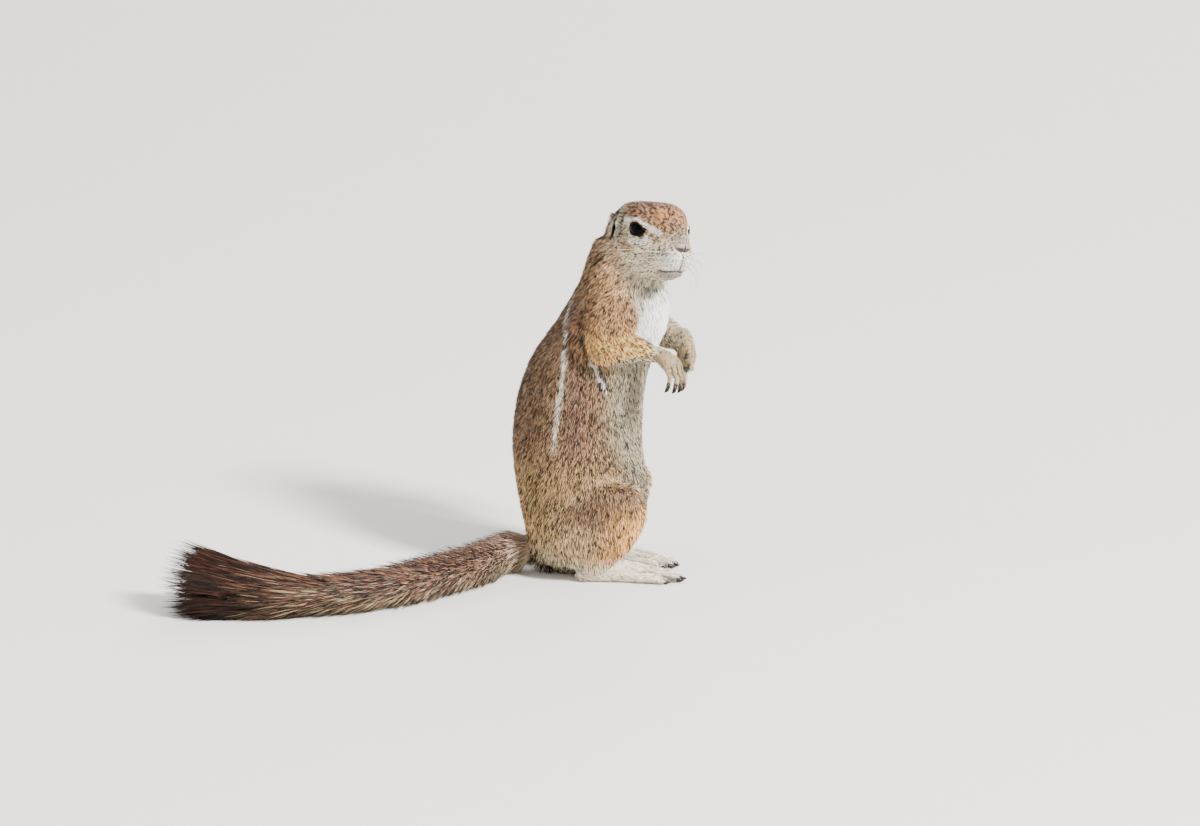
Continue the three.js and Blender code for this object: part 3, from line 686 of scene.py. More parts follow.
face = painted(
    "#e6d6b4",
    ("#a87a58", crown),
    ("#97795e", 0.9 * nape),
    ("#c98450", fore_crown * crown),
    ("#a98d6c", 0.7 * step(9, 13, hx) * step(-12, -5, hz)),
    ("#8f7a66", 0.7 * ear_ground),
    ("#b9a88e", 0.7 * step(-12, -15, hx)),
    ("#a97c50", 0.75 * gold_patch),
    ("#a5825c", 0.7 * before_eye),
    ("#a99a80", bridge),
    ("#ebe4d9", lips),
    # The chin's pale fur, painted a darker grey as the shade under the head.
    ("#a69b90", chin),
    ("#efe7d6", 0.92 * brow_line),
    ("#ece4d2", 0.88 * under_line),
    ("#2a201b", dark_line),
    ("#c9bfa9", 0.8 * ear_cream),
    ("#77624e", 0.8 * behind_ear),
    # Painted shade: the ear's slit near black.
    ("#0d0a09", shaded_ear_slit),
    ("#33281f", 0.9 * whisker_roots),
    # Painted shade: a soft darker band under the mouth line.
    ("#8a7c72", 0.8 * hump(hz, mouth_height - 1.4, 1.1) * step(9.5, 12, hx)),
    ("#241a17", np.maximum(philtrum, mouth)),
    ("#0c0807", lids),
)
front_of_arm = step(41, 46, px) * step(148, 156, pz) * step(0.1, 0.5, outward[:, 0])
front_of_arm *= 1 - step(24, 30, np.abs(py))
arm_under = step(-0.1, -0.6, outward[:, 2])
inward = -outward[:, 1] * np.sign(py)
knee = step(28, 46, px + 0.25 * (60 - pz)) * (1 - step(44, 60, pz))
neck = painted(
    "#eeb984",
    ("#9a7858", step(110, 150, off_front)),
    ("#bcae93", step(95, 55, off_front)),
    ("#d6cebf", step(55, 30, off_front)),
    (GREY, 0.4 * throat_shade),
)
upper_arm = painted(
    "#b4875c",
    ("#eeb46c", step(168, 146, pz)),
    ("#f2eee6", front_of_arm),
    (UMBER, 0.8 * arm_top),
    # dark border of the elbow line, and painted shade behind the arm
    (EDGE_AND_SHADE, 0.95 * elbow_edge_and_crease_shade),
    (CREAM, elbow_line),
)
forearm = painted(
    "#dcac62",
    (UMBER, 0.85 * arm_top),
    ("#e6dccb", step(0.0, 0.6, inward)),
    ("#d8cba9", arm_under),
    ("#e6d6b4", step(50, 60, px)),
)
thigh = painted(
    "#987555",
    ("#e0b988", step(52, 34, pz)),
    ("#fcba74", 0.9 * knee),
    ("#c9bb9a", 0.8 * step(-0.2, 0.5, inward)),
    (STRAW, step(24, 10, pz) * step(24, 8, px)),
)
tail_under = step(0.1, -0.6, outward[:, 2]) * step(0.72, 0.6, along_tail)
tail = painted(
    "#744f3b",
    ("#48281b", step(0.5, 0.72, along_tail)),
    ("#9b7d68", step(0.26, 0.04, along_tail)),
    ("#b9a584", 0.8 * tail_under),
)
# Of each part: how it is coloured, its shares of dark and of pale tufts, and their length
# and breadth in millimetres.
kinds = [
    (("chest", "belly", "rump"), torso, 0.36, 0.14, 4.6, 0.3),
    (("neck",), neck, 0.32, 0.15, 4.6, 0.3),
    (("head", "nose", "eye"), face, 0.3, 0.16, 2.5, 0.26),
    (("ear",), face, 0.3, 0.1, 1.6, 0.2),
    (("upper_arm",), upper_arm, 0.32, 0.14, 3.8, 0.28),
    (("forearm",), forearm, 0.42, 0.12, 2.5, 0.25),
    (("hand",), painted("#b7a07a"), 0.18, 0.14, 1.9, 0.23),
    (("thigh",), thigh, 0.3, 0.14, 5.2, 0.32),
    (("shank",), painted("#ffbd72", ("#f1e0c0", step(23, 13, pz))), 0.14, 0.22, 4.6, 0.3),
    (("foot",), painted("#f4e6cd"), 0.06, 0.1, 3.0, 0.26),
    (("tail",), tail, 0.3, 0.16, 22.0, 0.42),
]
kinds = [(member(*starts), *values) for starts, *values in kinds]
total = sum(kind[0] for kind in kinds)
tint = sum(kind[0][:, None] * kind[1] for kind in kinds) / total[:, None]
dark, pale, hair, blade = (sum(kind[0] * kind[n] for kind in kinds) / total for n in (2, 3, 4, 5))
crown = member("head") * crown
pale = pale * (1 - 0.85 * member("tail") * step(0.5, 0.7, along_tail))
dark = dark * (1 - 0.5 * front * member("chest", "belly"))
dark = dark + 0.2 * crown + 0.35 * nape * member("head", "neck", "ear")
dark = dark + member("head", "ear") * (0.25 * behind_ear + 0.6 * dark_line)
pale = (pale + 0.08 * crown) * (1 - 0.6 * crown * fore_crown)
white_face = 0.75 * np.clip(brow_line + under_line + 0.7 * lips + chin, 0, 1)
body = member("chest", "belly", "rump")
plain = np.clip(body * np.maximum(stripe, np.maximum(white_chest, elbow_line)), 0, 1)
plain = plain + member("head") * np.maximum(white_face, shaded_ear_slit) + member("upper_arm") * front_of_arm
plain = np.clip(plain, 0, 1)
dark = 0.92 * dark * (1 - plain)
dark += 0.8 * np.clip(body * stripe_edge + member("chest", "belly", "upper_arm") * elbow_edge_and_crease_shade, 0, 1)
pale *= 1 - plain
hair = hair - 1.1 * member("head") * step(2, 14, hx)
hair = hair - 0.6 * member("head") * (brow_line + under_line) + 0.2 * crown
hair += 2.0 * white_chest * member("chest") + 0.9 * nape * member("head", "neck")
hair += (1.0 - hair) * ear_round * member("head", "ear")
hair *= 1 - 0.5 * by_eye
tail_hair = np.interp(along_tail, (0.03, 0.12, 0.3, 0.6, 0.72), (13, 16, 18, 22, 47))
hair = hair + member("tail") * (tail_hair - hair)
# The clefts between fingers and between toes are bare, and their hide is painted dark as shade.
shaded_bare_clefts = np.zeros(len(places))
for name, (_, digits, place) in PAWS.items():
    x, y, _ = placed((places / MM, []), place.inverted())[0].T
    roots, bends = zip(*[(knuckle[0], bend[1]) for knuckle, bend, _, radius, _ in digits if radius > THUMB])
    off = np.min([np.abs(y - bend) for bend in bends], axis=0)
    within = np.abs(y) < max(abs(bend) for bend in bends)
    shaded_bare_clefts += member(name) * step(1.0, 1.6, off) * within * step(-4, -1, x - min(roots) - 3)
# Painted shade: the hide darkened in the clefts between the digits.
tint *= (1 - 0.8 * shaded_bare_clefts)[:, None]
for name, values in {
    "tint": np.column_stack([tint, np.ones(len(tint))]), "lie": lie, "outward": outward,
    "shares": np.column_stack([dark, pale, np.zeros(len(dark))]), "hair": hair * MM, "blade": blade * MM,
}.items():
    remember(mesh, name, values)

# Each piece of the coat: the parts of the hide it grows on, its tufts to a square metre and
# its slot. Crown, left belly and far tail take over some of the part of the piece before.
COATS = {
    "coat_face": (("head", "nose", "eye"), 6.5e6, "face_fur"),
    "coat_crown": (("ear",), 5.4e6, "face_fur"),
    "coat_neck": (("neck",), 3.4e6, "back_fur"),
    "coat_chest": (("chest",), 3.1e6, "chest_fur"),
    "coat_belly_right": (("belly",), 3.1e6, "back_fur"),
    "coat_belly_left": ((), 3.1e6, "back_fur"),
    "coat_rump": (("rump",), 3.1e6, "back_fur"),
    "coat_arm_right": (("upper_arm_right", "forearm_right", "hand_right"), 3.8e6, "limb_fur"),
    "coat_arm_left": (("upper_arm_left", "forearm_left", "hand_left"), 3.8e6, "limb_fur"),
    "coat_leg_right": (("thigh_right", "shank_right", "foot_right"), 3.4e6, "limb_fur"),
    "coat_leg_left": (("thigh_left", "shank_left", "foot_left"), 3.4e6, "limb_fur"),
    "tail_hair_near": (("tail",), 3.0e6, "tail_fur"),
    "tail_hair_far": ((), 2.8e6, "tail_fur"),
}
coat_names = list(COATS)
of_part = [
    next(i for i, (starts, *_) in enumerate(COATS.values()) if starts and name.startswith(starts))
    for name in part_names
]
coat_at = np.array(of_part)[parts]
for taken, given, where in (
    ("coat_face", "coat_crown", on_head[:, 0] < -6), ("coat_belly_right", "coat_belly_left", py > 0),
    ("tail_hair_near", "tail_hair_far", along_tail > 0.42),
):
    coat_at[(coat_at == coat_names.index(taken)) & where] = coat_names.index(given)
corners = np.empty(len(mesh.polygons) * 3, np.int32)
mesh.polygons.foreach_get("vertices", corners)
first_corner = corners.reshape(-1, 3)[:, 0]
for word, values in (("coat", coat_at), ("part", parts)):
    told = mesh.attributes.new(word, "INT", "FACE").data
    told.foreach_set("value", values[first_corner].astype(np.int32))

# How thickly it grows: not on the nose pad, in the eye, on the lips' edge or on the floor.
cover = off_lids
NOSE = np.array([22.1, 0, -10.0])
cover *= step(3.5, 4.1, np.linalg.norm((on_head - NOSE) / [1, 1.35, 1], axis=1))
cover *= 1 - 0.95 * member("head") * np.maximum(mouth, philtrum)
cover *= 1 - shaded_ear_slit
cover *= step(0.6, 2.5, pz)
cover *= (1 - 0.45 * member("hand")) * (1 - 0.3 * member("foot")) * (1 - 0.9 * shaded_bare_clefts)
cover *= 1 + member("tail") * 1.6 * step(0.55, 0.75, along_tail)
at_tip = step(0.55, 0.8, np.abs((outward * tail_way).sum(1))) * step(0.5, 0.6, along_tail)
cover *= 1 - member("tail") * at_tip
remember(mesh, "cover", cover)


# ---- Coat --------------------------------------------------------------------------------
# Short, stiff hair that lies flat along the body in small pointed tufts, each tuft a few
# hairs held together. Most hairs are sandy; dark and pale ones among them give the salt
# and pepper of the back. The hair of the tail is long and coarse and stands out sideways.


def faced_out(piece, smooth=True):
    """Turns every face outward."""
    form = bmesh.new()
    form.from_mesh(piece.data)
    bmesh.ops.recalc_face_normals(form, faces=form.faces)
    form.to_mesh(piece.data)
    form.free()
    if smooth:
        piece.data.polygons.foreach_set("use_smooth", [True] * len(piece.data.polygons))


def tuft(name, rows, tip_rise, ridge):
    """One tuft of length 1 along +Y and breadth 1: a thin closed spindle with a ridge on top."""
    points, along, across = [(0, 0, -0.02)], [0.0], [0.5]
    for y, half, rise in rows:
        points += [(-half, y, rise), (half, y, rise), (0, y, rise + ridge)]
        along += [y] * 3
        across += [0.5 - half, 0.5 + half, 0.5]
    points.append((0, 1, tip_rise))
    along.append(1.0)
    across.append(0.5)
    last = len(points) - 1
    faces = [(0, 2, 1), (0, 1, 3), (0, 3, 2)]
    for r in range(len(rows) - 1):
        a, b = 1 + 3 * r, 4 + 3 * r
        for i, j in ((0, 1), (1, 2), (2, 0)):
            faces += [(a + i, a + j, b + j), (a + i, b + j, b + i)]
    a = last - 3
    faces += [(a, a + 1, last), (a + 1, a + 2, last), (a + 2, a, last)]
    piece = new_piece(name, points, faces)
    faced_out(piece, smooth=False)
    remember(piece.data, "along", along)
    remember(piece.data, "across", across)
    return piece


short_tuft = tuft("short tuft", [(0.6, 0.5, 0.19)], 0.3, 0.035)
long_tuft = tuft("long tuft", [(0.22, 0.42, 0.1), (0.6, 0.5, 0.23)], 0.33, 0.012)


def add_node(tree, kind, inputs=None, **settings):
    """A node with its settings, its inputs linked or set. A node among them gives its first output."""
    made = tree.nodes.new(kind)
    for key, value in settings.items():
        setattr(made, key, value)
    for key, value in (inputs or {}).items():
        value = value.outputs[0] if isinstance(value, bpy.types.Node) else value
        if isinstance(value, bpy.types.NodeSocket):
            tree.links.new(value, made.inputs[key])
        else:
            made.inputs[key].default_value = value
    return made


def coat_nodes():
    """Geometry nodes that plant tufts on one part of the hide, each along the lie."""
    tree = bpy.data.node_groups.new("coat", "GeometryNodeTree")
    face = tree.interface
    face.new_socket("Geometry", in_out="INPUT", socket_type="NodeSocketGeometry")
    for label, kind in (("Tuft", "Object"), ("Coat", "Int"), ("Density", "Float"), ("Unruly", "Vector"),
                        ("Seed", "Int"), ("Material", "Material")):
        face.new_socket(label, in_out="INPUT", socket_type=f"NodeSocket{kind}")
    face.new_socket("Geometry", in_out="OUTPUT", socket_type="NodeSocketGeometry")

    node = functools.partial(add_node, tree)
    given = node("NodeGroupInput").outputs
    seed = given["Seed"]

    # What the hide tells the coat, and what it finds itself at each spot.
    kinds = {"coat": "INT", "cover": "FLOAT", "hair": "FLOAT", "blade": "FLOAT", "tint": "FLOAT_COLOR",
             "shares": "FLOAT_VECTOR", "outward": "FLOAT_VECTOR", "lie": "FLOAT_VECTOR"}
    told = {
        name: node("GeometryNodeInputNamedAttribute", {"Name": name}, data_type=kind).outputs["Attribute"]
        for name, kind in kinds.items()
    }
    seeds = [node("ShaderNodeMath", {0: seed, 1: more}, operation="ADD") for more in (50, 90)]
    here = node("FunctionNodeCompare", {2: told["coat"], 3: given["Coat"]}, data_type="INT",
                operation="EQUAL")
    density = node("ShaderNodeMath", {0: given["Density"], 1: told["cover"]}, operation="MULTIPLY")
    spots = node("GeometryNodeDistributePointsOnFaces", {
        "Mesh": given["Geometry"], "Selection": here, "Seed": seed, "Density": density,
    }).outputs["Points"]
    nearby = node("FunctionNodeRandomValue", {0: (-0.24,) * 3, 1: (0.24,) * 3, 8: seeds[1]},
                  data_type="FLOAT_VECTOR")
    nearby = node("ShaderNodeVectorMath", {0: nearby, 1: told["hair"]}, operation="MULTIPLY")
    middle = node("GeometryNodeInputPosition")
    nearby = node("ShaderNodeVectorMath", {0: nearby, 1: middle}, operation="ADD")
    for name in ("tint", "shares"):
        taken = node("GeometryNodeSampleNearestSurface", {
            "Mesh": given["Geometry"], "Value": told[name], "Sample Position": nearby,
        }, data_type=kinds[name]).outputs["Value"]
        spots = node("GeometryNodeStoreNamedAttribute", {"Geometry": spots, "Name": name, "Value": taken},
                     data_type=kinds[name], domain="POINT")
    clump = node("ShaderNodeTexNoise", {"Vector": nearby, "Scale": 620.0, "Detail": 0.0})
    clump = node("ShaderNodeMapRange", {"Value": clump, 1: 0.42, 2: 0.64, 3: 0.0, 4: 2.4})
    dice = node("FunctionNodeRandomValue", {2: 0.0, 3: 1.0, 8: seeds[0]}, data_type="FLOAT").outputs[1]
    for name, found in (("clump", clump), ("dice", dice)):
        spots = node("GeometryNodeStoreNamedAttribute", {"Geometry": spots, "Name": name, "Value": found},
                     data_type="FLOAT", domain="POINT")
    facing = node("FunctionNodeAxesToRotation", {
        "Primary Axis": told["outward"], "Secondary Axis": told["lie"],
    }, primary_axis="Z", secondary_axis="Y")
    wild = given["Unruly"]
    opposite = node("ShaderNodeVectorMath", {0: wild, 1: (-1, -1, -1)}, operation="MULTIPLY")
    astray = node("FunctionNodeRandomValue", {0: opposite, 1: wild, 8: seed}, data_type="FLOAT_VECTOR")
    turned = node("FunctionNodeRotateRotation", {"Rotation": facing, "Rotate By": astray},
                  rotation_space="LOCAL")
    size = node("ShaderNodeMapRange", {"Value": dice, 1: 0.0, 2: 1.0, 3: 1.25, 4: 0.75})
    scale = node("ShaderNodeCombineXYZ", {0: told["blade"], 1: told["hair"], 2: told["hair"]})
    scale = node("ShaderNodeVectorMath", {0: scale, 1: size}, operation="MULTIPLY")
    tufts = node("GeometryNodeInstanceOnPoints", {
        "Points": spots, "Rotation": turned, "Scale": scale,
        "Instance": node("GeometryNodeObjectInfo", {"Object": given["Tuft"]}).outputs["Geometry"],
    })
    tufts = node("GeometryNodeStoreNamedAttribute", {"Geometry": tufts, "Name": "root", "Value": middle},
                 data_type="FLOAT_VECTOR", domain="INSTANCE")
    whole = node("GeometryNodeRealizeInstances", {"Geometry": tufts})
    coloured = node("GeometryNodeSetMaterial", {"Geometry": whole, "Material": given["Material"]})
    node("NodeGroupOutput", {"Geometry": coloured})
    return tree


planting = coat_nodes()
sockets = {item.name: item.identifier for item in planting.interface.items_tree if item.in_out == "INPUT"}


def new_material(name, **values):
    """A material and its shader, with the shader's plain values set."""
    material = bpy.data.materials.new(name)
    material.use_nodes = True
    shader = material.node_tree.nodes["Principled BSDF"]
    for key, value in values.items():
        shader.inputs[key.replace("_", " ")].default_value = value
    return material, material.node_tree, shader


# Hair: each tuft has its own colour, with finer, lighter and darker hairs along it.
def hair_material(name, roughness):
    material, tree, shader = new_material(name, Roughness=roughness, Specular_IOR_Level=0.25)
    colour, across, dice = (
        add_node(tree, "ShaderNodeAttribute", attribute_name=told)
        for told in ("coat_colour", "across", "dice"))
    strand = add_node(tree, "ShaderNodeCombineXYZ", {0: across.outputs["Fac"], 1: dice.outputs["Fac"]})
    hairs = add_node(tree, "ShaderNodeTexNoise", {"Vector": strand, "Scale": 9.0, "Detail": 2.0})
    shade = add_node(tree, "ShaderNodeMapRange", {"Value": hairs, 1: 0.3, 2: 0.7, 3: 0.78, 4: 1.18})
    mixed = add_node(tree, "ShaderNodeVectorMath", {0: colour, 1: shade}, operation="MULTIPLY")
    tree.links.new(mixed.outputs[0], shader.inputs["Base Color"])
    return material


short_hair = hair_material("short hair", 0.62)
tail_hairs = hair_material("tail hair", 0.5)


def read(mesh, name, width=1):
    values = mesh.attributes[name].data
    whole = isinstance(values[0], bpy.types.IntAttributeValue)
    out = np.empty(len(values) * width, np.int32 if whole else np.float32)
    values.foreach_get({1: "value", 3: "vector", 4: "color"}[width], out)
    return out.reshape(-1, width) if width > 1 else out


def unwrapped(roots, part):
    """Each root's place on the skin laid flat: one strip for each part, cut along its length."""
    flat = np.zeros((len(roots), 2))
    islands = np.unique(part)
    for number, island in enumerate(islands):
        mine = part == island
        here = roots[mine] / MM
        name = part_names[island]
        if name.startswith("tail"):
            nearest = nearest_on_tail(here)
            run = tail_share[nearest]
            off = here - tail_fine[nearest]
            around = np.arctan2(off[:, 2], (off * np.cross(tail_ways[nearest], [0, 0, 1])).sum(1))
        else:
            middle = here.mean(0)
            axes = np.linalg.svd(here[:: max(1, len(here) // 4000)] - middle, full_matrices=False)[2]
            if name.startswith(("chest", "belly", "rump", "neck")):
                axes = np.array([[0, 0, 1], [-1, 0, 0], [0, 1, 0]])
            off = (here - middle) @ axes.T
            run = off[:, 0]
            around = np.arctan2(off[:, 2], off[:, 1])
        run = (run - run.min()) / max(np.ptp(run), 1e-6)
        flat[mine, 0] = (number + 0.01 + 0.98 * (around / (2 * math.pi) + 0.5)) / len(islands)
        flat[mine, 1] = 0.01 + 0.98 * run
    return flat


TOLD = ("lie", "outward", "shares", "hair", "blade", "cover", "coat", "part")
PATCH = 0.003             # how broad each tuft is on the unwrap


def plant(name, prototype, material, unruly, root_shade=0.38, wave=0.0):
    """Grows one piece of the coat on the hide and colours it, darker at the roots. Unruly is how
    far a tuft may turn from the lie, in radians, and wave how strongly its shade runs in bands."""
    _, density, slot = COATS[name]
    piece = bpy.data.objects.new(name, hide.data.copy())
    bpy.context.scene.collection.objects.link(piece)
    grown = piece.modifiers.new("coat", "NODES")
    grown.node_group = planting
    number = coat_names.index(name)
    for label, value in (("Tuft", prototype), ("Coat", number), ("Density", density), ("Unruly", unruly),
                         ("Seed", 11 + number), ("Material", material)):
        grown[sockets[label]] = value
    coat = settled(piece)
    dice, along, clump = (read(coat, word) for word in ("dice", "along", "clump"))
    root, shares, outward = (read(coat, word, 3) for word in ("root", "shares", "outward"))
    second_dice = (dice * 977.7) % 1
    colour = read(coat, "tint", 4)[:, :3].astype(float) * (0.98 + 0.38 * second_dice)[:, None]
    is_dark = dice < shares[:, 0] * (0.2 + 0.8 * clump)
    is_pale = dice > 1 - shares[:, 1] * (1.6 - 0.6 * clump)
    colour = laid_over(colour, "#150e0b", np.where(is_dark, 0.97 * step(0.3, 0.6, along), 0))
    colour = laid_over(colour, "#ecdcbb", np.where(is_pale, 0.5 * step(0.2, 0.6, along), 0))
    colour *= (1 + wave * np.sin(9 * along + 60 * dice))[:, None]
    colour *= (root_shade + (1.06 - root_shade) * np.sqrt(along))[:, None]
    places = coords(coat)
    places[:, 2] = np.maximum(places[:, 2], 0.15 * MM)
    places[:, 1] = np.maximum(places[:, 1], cad_box[0][1] - 2.5 * MM)     # the tail's outer side
    set_coords(coat, places)
    soft = unit(normals(coat) * 0.55 + outward * 0.8)
    flat = unwrapped(root, read(coat, "part"))
    flat[:, 0] += (read(coat, "across") - 0.5) * PATCH
    flat[:, 1] += (along - 0.5) * PATCH
    corner = np.empty(len(coat.loops), np.int32)
    coat.loops.foreach_get("vertex_index", corner)
    for layer in list(coat.uv_layers):
        coat.uv_layers.remove(layer)
    coat.uv_layers.new(name="OFBake").data.foreach_set("uv", flat[corner].astype(np.float32).ravel())
    for word in (*TOLD, "tint", "root", "along", "clump"):
        if word in coat.attributes:
            coat.attributes.remove(coat.attributes[word])
    remember(coat, "coat_colour", np.column_stack([colour, np.ones(len(colour))]))
    coat.normals_split_custom_set_from_vertices(soft.astype(np.float32))
    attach(piece, "root")


for name in coat_names[:-2]:
    plant(name, short_tuft, short_hair, (0.16, 0.08, 0.2))
plant("tail_hair_near", long_tuft, tail_hairs, (0.25, 0.1, 0.22), 0.7, 0.4)
plant("tail_hair_far", long_tuft, tail_hairs, (0.1, 0.1, 0.14), 0.7, 0.3)
for prototype in (short_tuft, long_tuft):
    bpy.data.objects.remove(prototype)

# Skin: the coat's own colours, darker, with the fine grain of the hair roots.
skin, tree, shader = new_material("skin and undercoat", Roughness=0.7, Specular_IOR_Level=0.2)
where = add_node(tree, "ShaderNodeTexCoord").outputs["Object"]
roots = add_node(tree, "ShaderNodeTexNoise", {"Vector": where, "Scale": 900.0, "Detail": 2.0})
shade = add_node(tree, "ShaderNodeMapRange", {"Value": roots, 1: 0.35, 2: 0.65, 3: 0.55, 4: 0.85})
toned = add_node(tree, "ShaderNodeAttribute", attribute_name="tint")
toned = add_node(tree, "ShaderNodeVectorMath", {0: toned, 1: shade}, operation="MULTIPLY")
tree.links.new(toned.outputs[0], shader.inputs["Base Color"])
bump = add_node(tree, "ShaderNodeBump", {"Height": roots, "Strength": 0.5, "Distance": 0.3 * MM})
tree.links.new(bump.outputs[0], shader.inputs["Normal"])
hide.data.materials.append(skin)
for word in TOLD:
    mesh.attributes.remove(mesh.attributes[word])
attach(hide, "root")
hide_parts(*[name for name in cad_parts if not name.startswith(("eye_", "nose"))])

# ---- Eyes --------------------------------------------------------------------------------
# Wet, almost black eyeballs, a brown iris round a wide pupil, set in the lids' almond
# opening. A bare dark rim of skin runs round each opening.


def rgba(code):
    return (*srgb(code), 1)


def ball(centre, radius, out, rows=28, sides=40):
    """A closed sphere with a pole at its front, a little fuller there, and each row's angle."""
    side = unit(np.cross(out, [0.0, 0.0, 1.0]))
    up = np.cross(side, out)
    points, angles = [centre + out * radius * 1.04], [0.0]
    for r in range(1, rows):
        angle = math.pi * r / rows
        size = radius * (1 + 0.04 * math.exp(-((angle / 0.6) ** 2)))
        for k in range(sides):
            turn = 2 * math.pi * k / sides
            points.append(centre + size * (out * math.cos(angle) + math.sin(angle) * (
                side * math.cos(turn) + up * math.sin(turn))))
            angles.append(angle)
    points.append(centre - out * radius)
    angles.append(math.pi)
    last = len(points) - 1
    faces = [(0, 1 + (k + 1) % sides, 1 + k) for k in range(sides)] + between_rings(rows - 1, sides, 1)
    faces += [(last, last - sides + k, last - sides + (k + 1) % sides) for k in range(sides)]
    return np.array(points), faces, np.array(angles)


def in_metres(part, place):
    points, faces = placed(part, place)
    return points * MM, faces


eye_wet, tree, shader = new_material("wet eye", Roughness=0.06, Specular_IOR_Level=0.05)
iris = add_node(tree, "ShaderNodeAttribute", attribute_name="from_pupil").outputs["Fac"]
iris = add_node(tree, "ShaderNodeValToRGB", {"Fac": iris})
for element, stop, code in zip(iris.color_ramp.elements, (0.24, 0.30), ("#000001", "#060302")):
    element.position, element.color = stop, rgba(code)
tree.links.new(iris.outputs[0], shader.inputs["Base Color"])
lid_skin, tree, shader = new_material(
    "bare lid skin", Base_Color=rgba("#060404"), Roughness=0.5, Specular_IOR_Level=0.15)
where = add_node(tree, "ShaderNodeTexCoord").outputs["Object"]
wrinkles = add_node(tree, "ShaderNodeTexNoise", {"Vector": where, "Scale": 2500.0, "Detail": 2.0})
bump = add_node(tree, "ShaderNodeBump", {"Height": wrinkles, "Strength": 0.4, "Distance": 0.1 * MM})
tree.links.new(bump.outputs[0], shader.inputs["Normal"])

for side, word in SIDES:
    eye = EYES[word]
    out, forward, up = eye_frame(side)
    points, faces, angles = ball(eye, EYE_RADIUS, out)
    eyeball = new_piece(f"eyeball_{word}", *in_metres((points, faces), HEAD_PLACE))
    remember(eyeball.data, "from_pupil", angles / math.pi)
    faced_out(eyeball)
    eyeball.data.materials.append(eye_wet)
    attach(eyeball, "root")
    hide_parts(f"eye_{word}")

    far, high = lid_line(np.linspace(0, 2 * math.pi, 97)[:-1])
    reach, turn = np.hypot(far, high) / EYE_RADIUS, np.arctan2(high, far)
    ray = np.cos(reach)[:, None] * out + np.sin(reach)[:, None] * (
        np.cos(turn)[:, None] * forward + np.sin(turn)[:, None] * up)
    line = eye + ray * (EYE_RADIUS + 0.3)
    ahead = unit(np.roll(line, -1, axis=0) - np.roll(line, 1, axis=0))
    across = np.cross(ahead, ray)
    points, faces = [], []
    for i in range(len(line)):
        for k in range(8):
            angle = 2 * math.pi * k / 8
            points.append(line[i] + ray[i] * 0.42 * math.sin(angle) + across[i] * 0.6 * math.cos(angle))
            n, m = (i + 1) % len(line), (k + 1) % 8
            faces.append((i * 8 + k, n * 8 + k, n * 8 + m, i * 8 + m))
    rim = new_piece(f"lid_rim_{word}", *in_metres((np.array(points), faces), HEAD_PLACE))
    faced_out(rim)
    rim.data.materials.append(lid_skin)
    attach(rim, "root")

# ---- Nose --------------------------------------------------------------------------------
# A bare, finely pebbled pad at the end of the muzzle, pinkish grey above, with two nostrils and
# a groove down the middle that runs on into the lip. Dents and lower half are painted dark as shade.

NOSE_RADII = np.array([3.6, 5.3, 3.9])
points, faces, _ = ball(np.zeros(3), 1.0, np.array([1.0, 0, 0]), 48, 64)
points = unit(points)
tilt = np.array(Matrix.Rotation(math.radians(30), 3, "Y"))
pad = (points * NOSE_RADII) @ tilt.T + NOSE
_, ny, nz = pad.T
dent = np.zeros(len(pad))
for side in (-1, 1):
    for far, low, deep, wide in ((2.2, -11.6, 0.75, 0.8), (3.1, -11.4, 0.6, 0.65), (3.9, -10.9, 0.45, 0.5)):
        off = pad - [24.8 - 0.45 * (far - 2.2), side * far, low]
        dent = np.maximum(dent, deep * hump(np.linalg.norm(off, axis=1), 0, wide))
dent += 0.7 * hump(ny, 0, 0.4) * (1 - step(-9.5, -8, nz))
dent += 0.35 * np.sin(1.6 * ny) ** 2 * hump(nz, -7, 1.5)
pad = pad - unit((points / NOSE_RADII) @ tilt.T) * dent[:, None]
nose = new_piece("nose_pad", *in_metres((pad, faces), HEAD_PLACE))
# Painted shade: darker in every dent, the nostrils and groove among them, and over the lower half.
remember(nose.data, "shade", np.clip(step(0.08, 0.35, dent) + 0.85 * (1 - step(-11.4, -9.6, nz)), 0, 1))
faced_out(nose)
nose_skin, tree, shader = new_material("bare nose skin", Roughness=0.42, Specular_IOR_Level=0.45)
tone = add_node(tree, "ShaderNodeAttribute", attribute_name="shade").outputs["Fac"]
tone = add_node(tree, "ShaderNodeValToRGB", {"Fac": tone})
for element, stop, code in zip(tone.color_ramp.elements, (0, 1), ("#8f7f78", "#2a1d19")):
    element.position, element.color = stop, rgba(code)
tree.links.new(tone.outputs[0], shader.inputs["Base Color"])
where = add_node(tree, "ShaderNodeTexCoord").outputs["Object"]
pebbles = add_node(tree, "ShaderNodeTexVoronoi", {"Vector": where, "Scale": 3200.0})
bump = add_node(tree, "ShaderNodeBump", {"Height": pebbles, "Strength": 0.35, "Distance": 0.1 * MM})
tree.links.new(bump.outputs[0], shader.inputs["Normal"])
nose.data.materials.append(nose_skin)
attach(nose, "root")
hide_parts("nose")

# ---- Claws -------------------------------------------------------------------------------
# Long, dark, blunt digging claws, one on each finger and toe, flat at the sides and curved
# down, growing out of the end of the digit.

CLAW_LENGTH = 6.5


def claw(bend, tip, curve, scale=1.0):
    bend, tip = np.array(bend, float), np.array(tip, float)
    ahead = unit(tip - bend)
    root = tip - ahead * 0.8
    length = CLAW_LENGTH * scale
    curve = np.array(curve, float) * scale
    return limb([
        (*root, 1.15, 1.45),
        (*(root + ahead * length * 0.35 + curve * 0.08), 1.08, 1.45),
        (*(root + ahead * length * 0.65 + curve * 0.4), 0.85, 1.15),
        (*(root + ahead * length * 0.92 + curve), 0.26, 0.36),
    ], sides=14, rows=14)


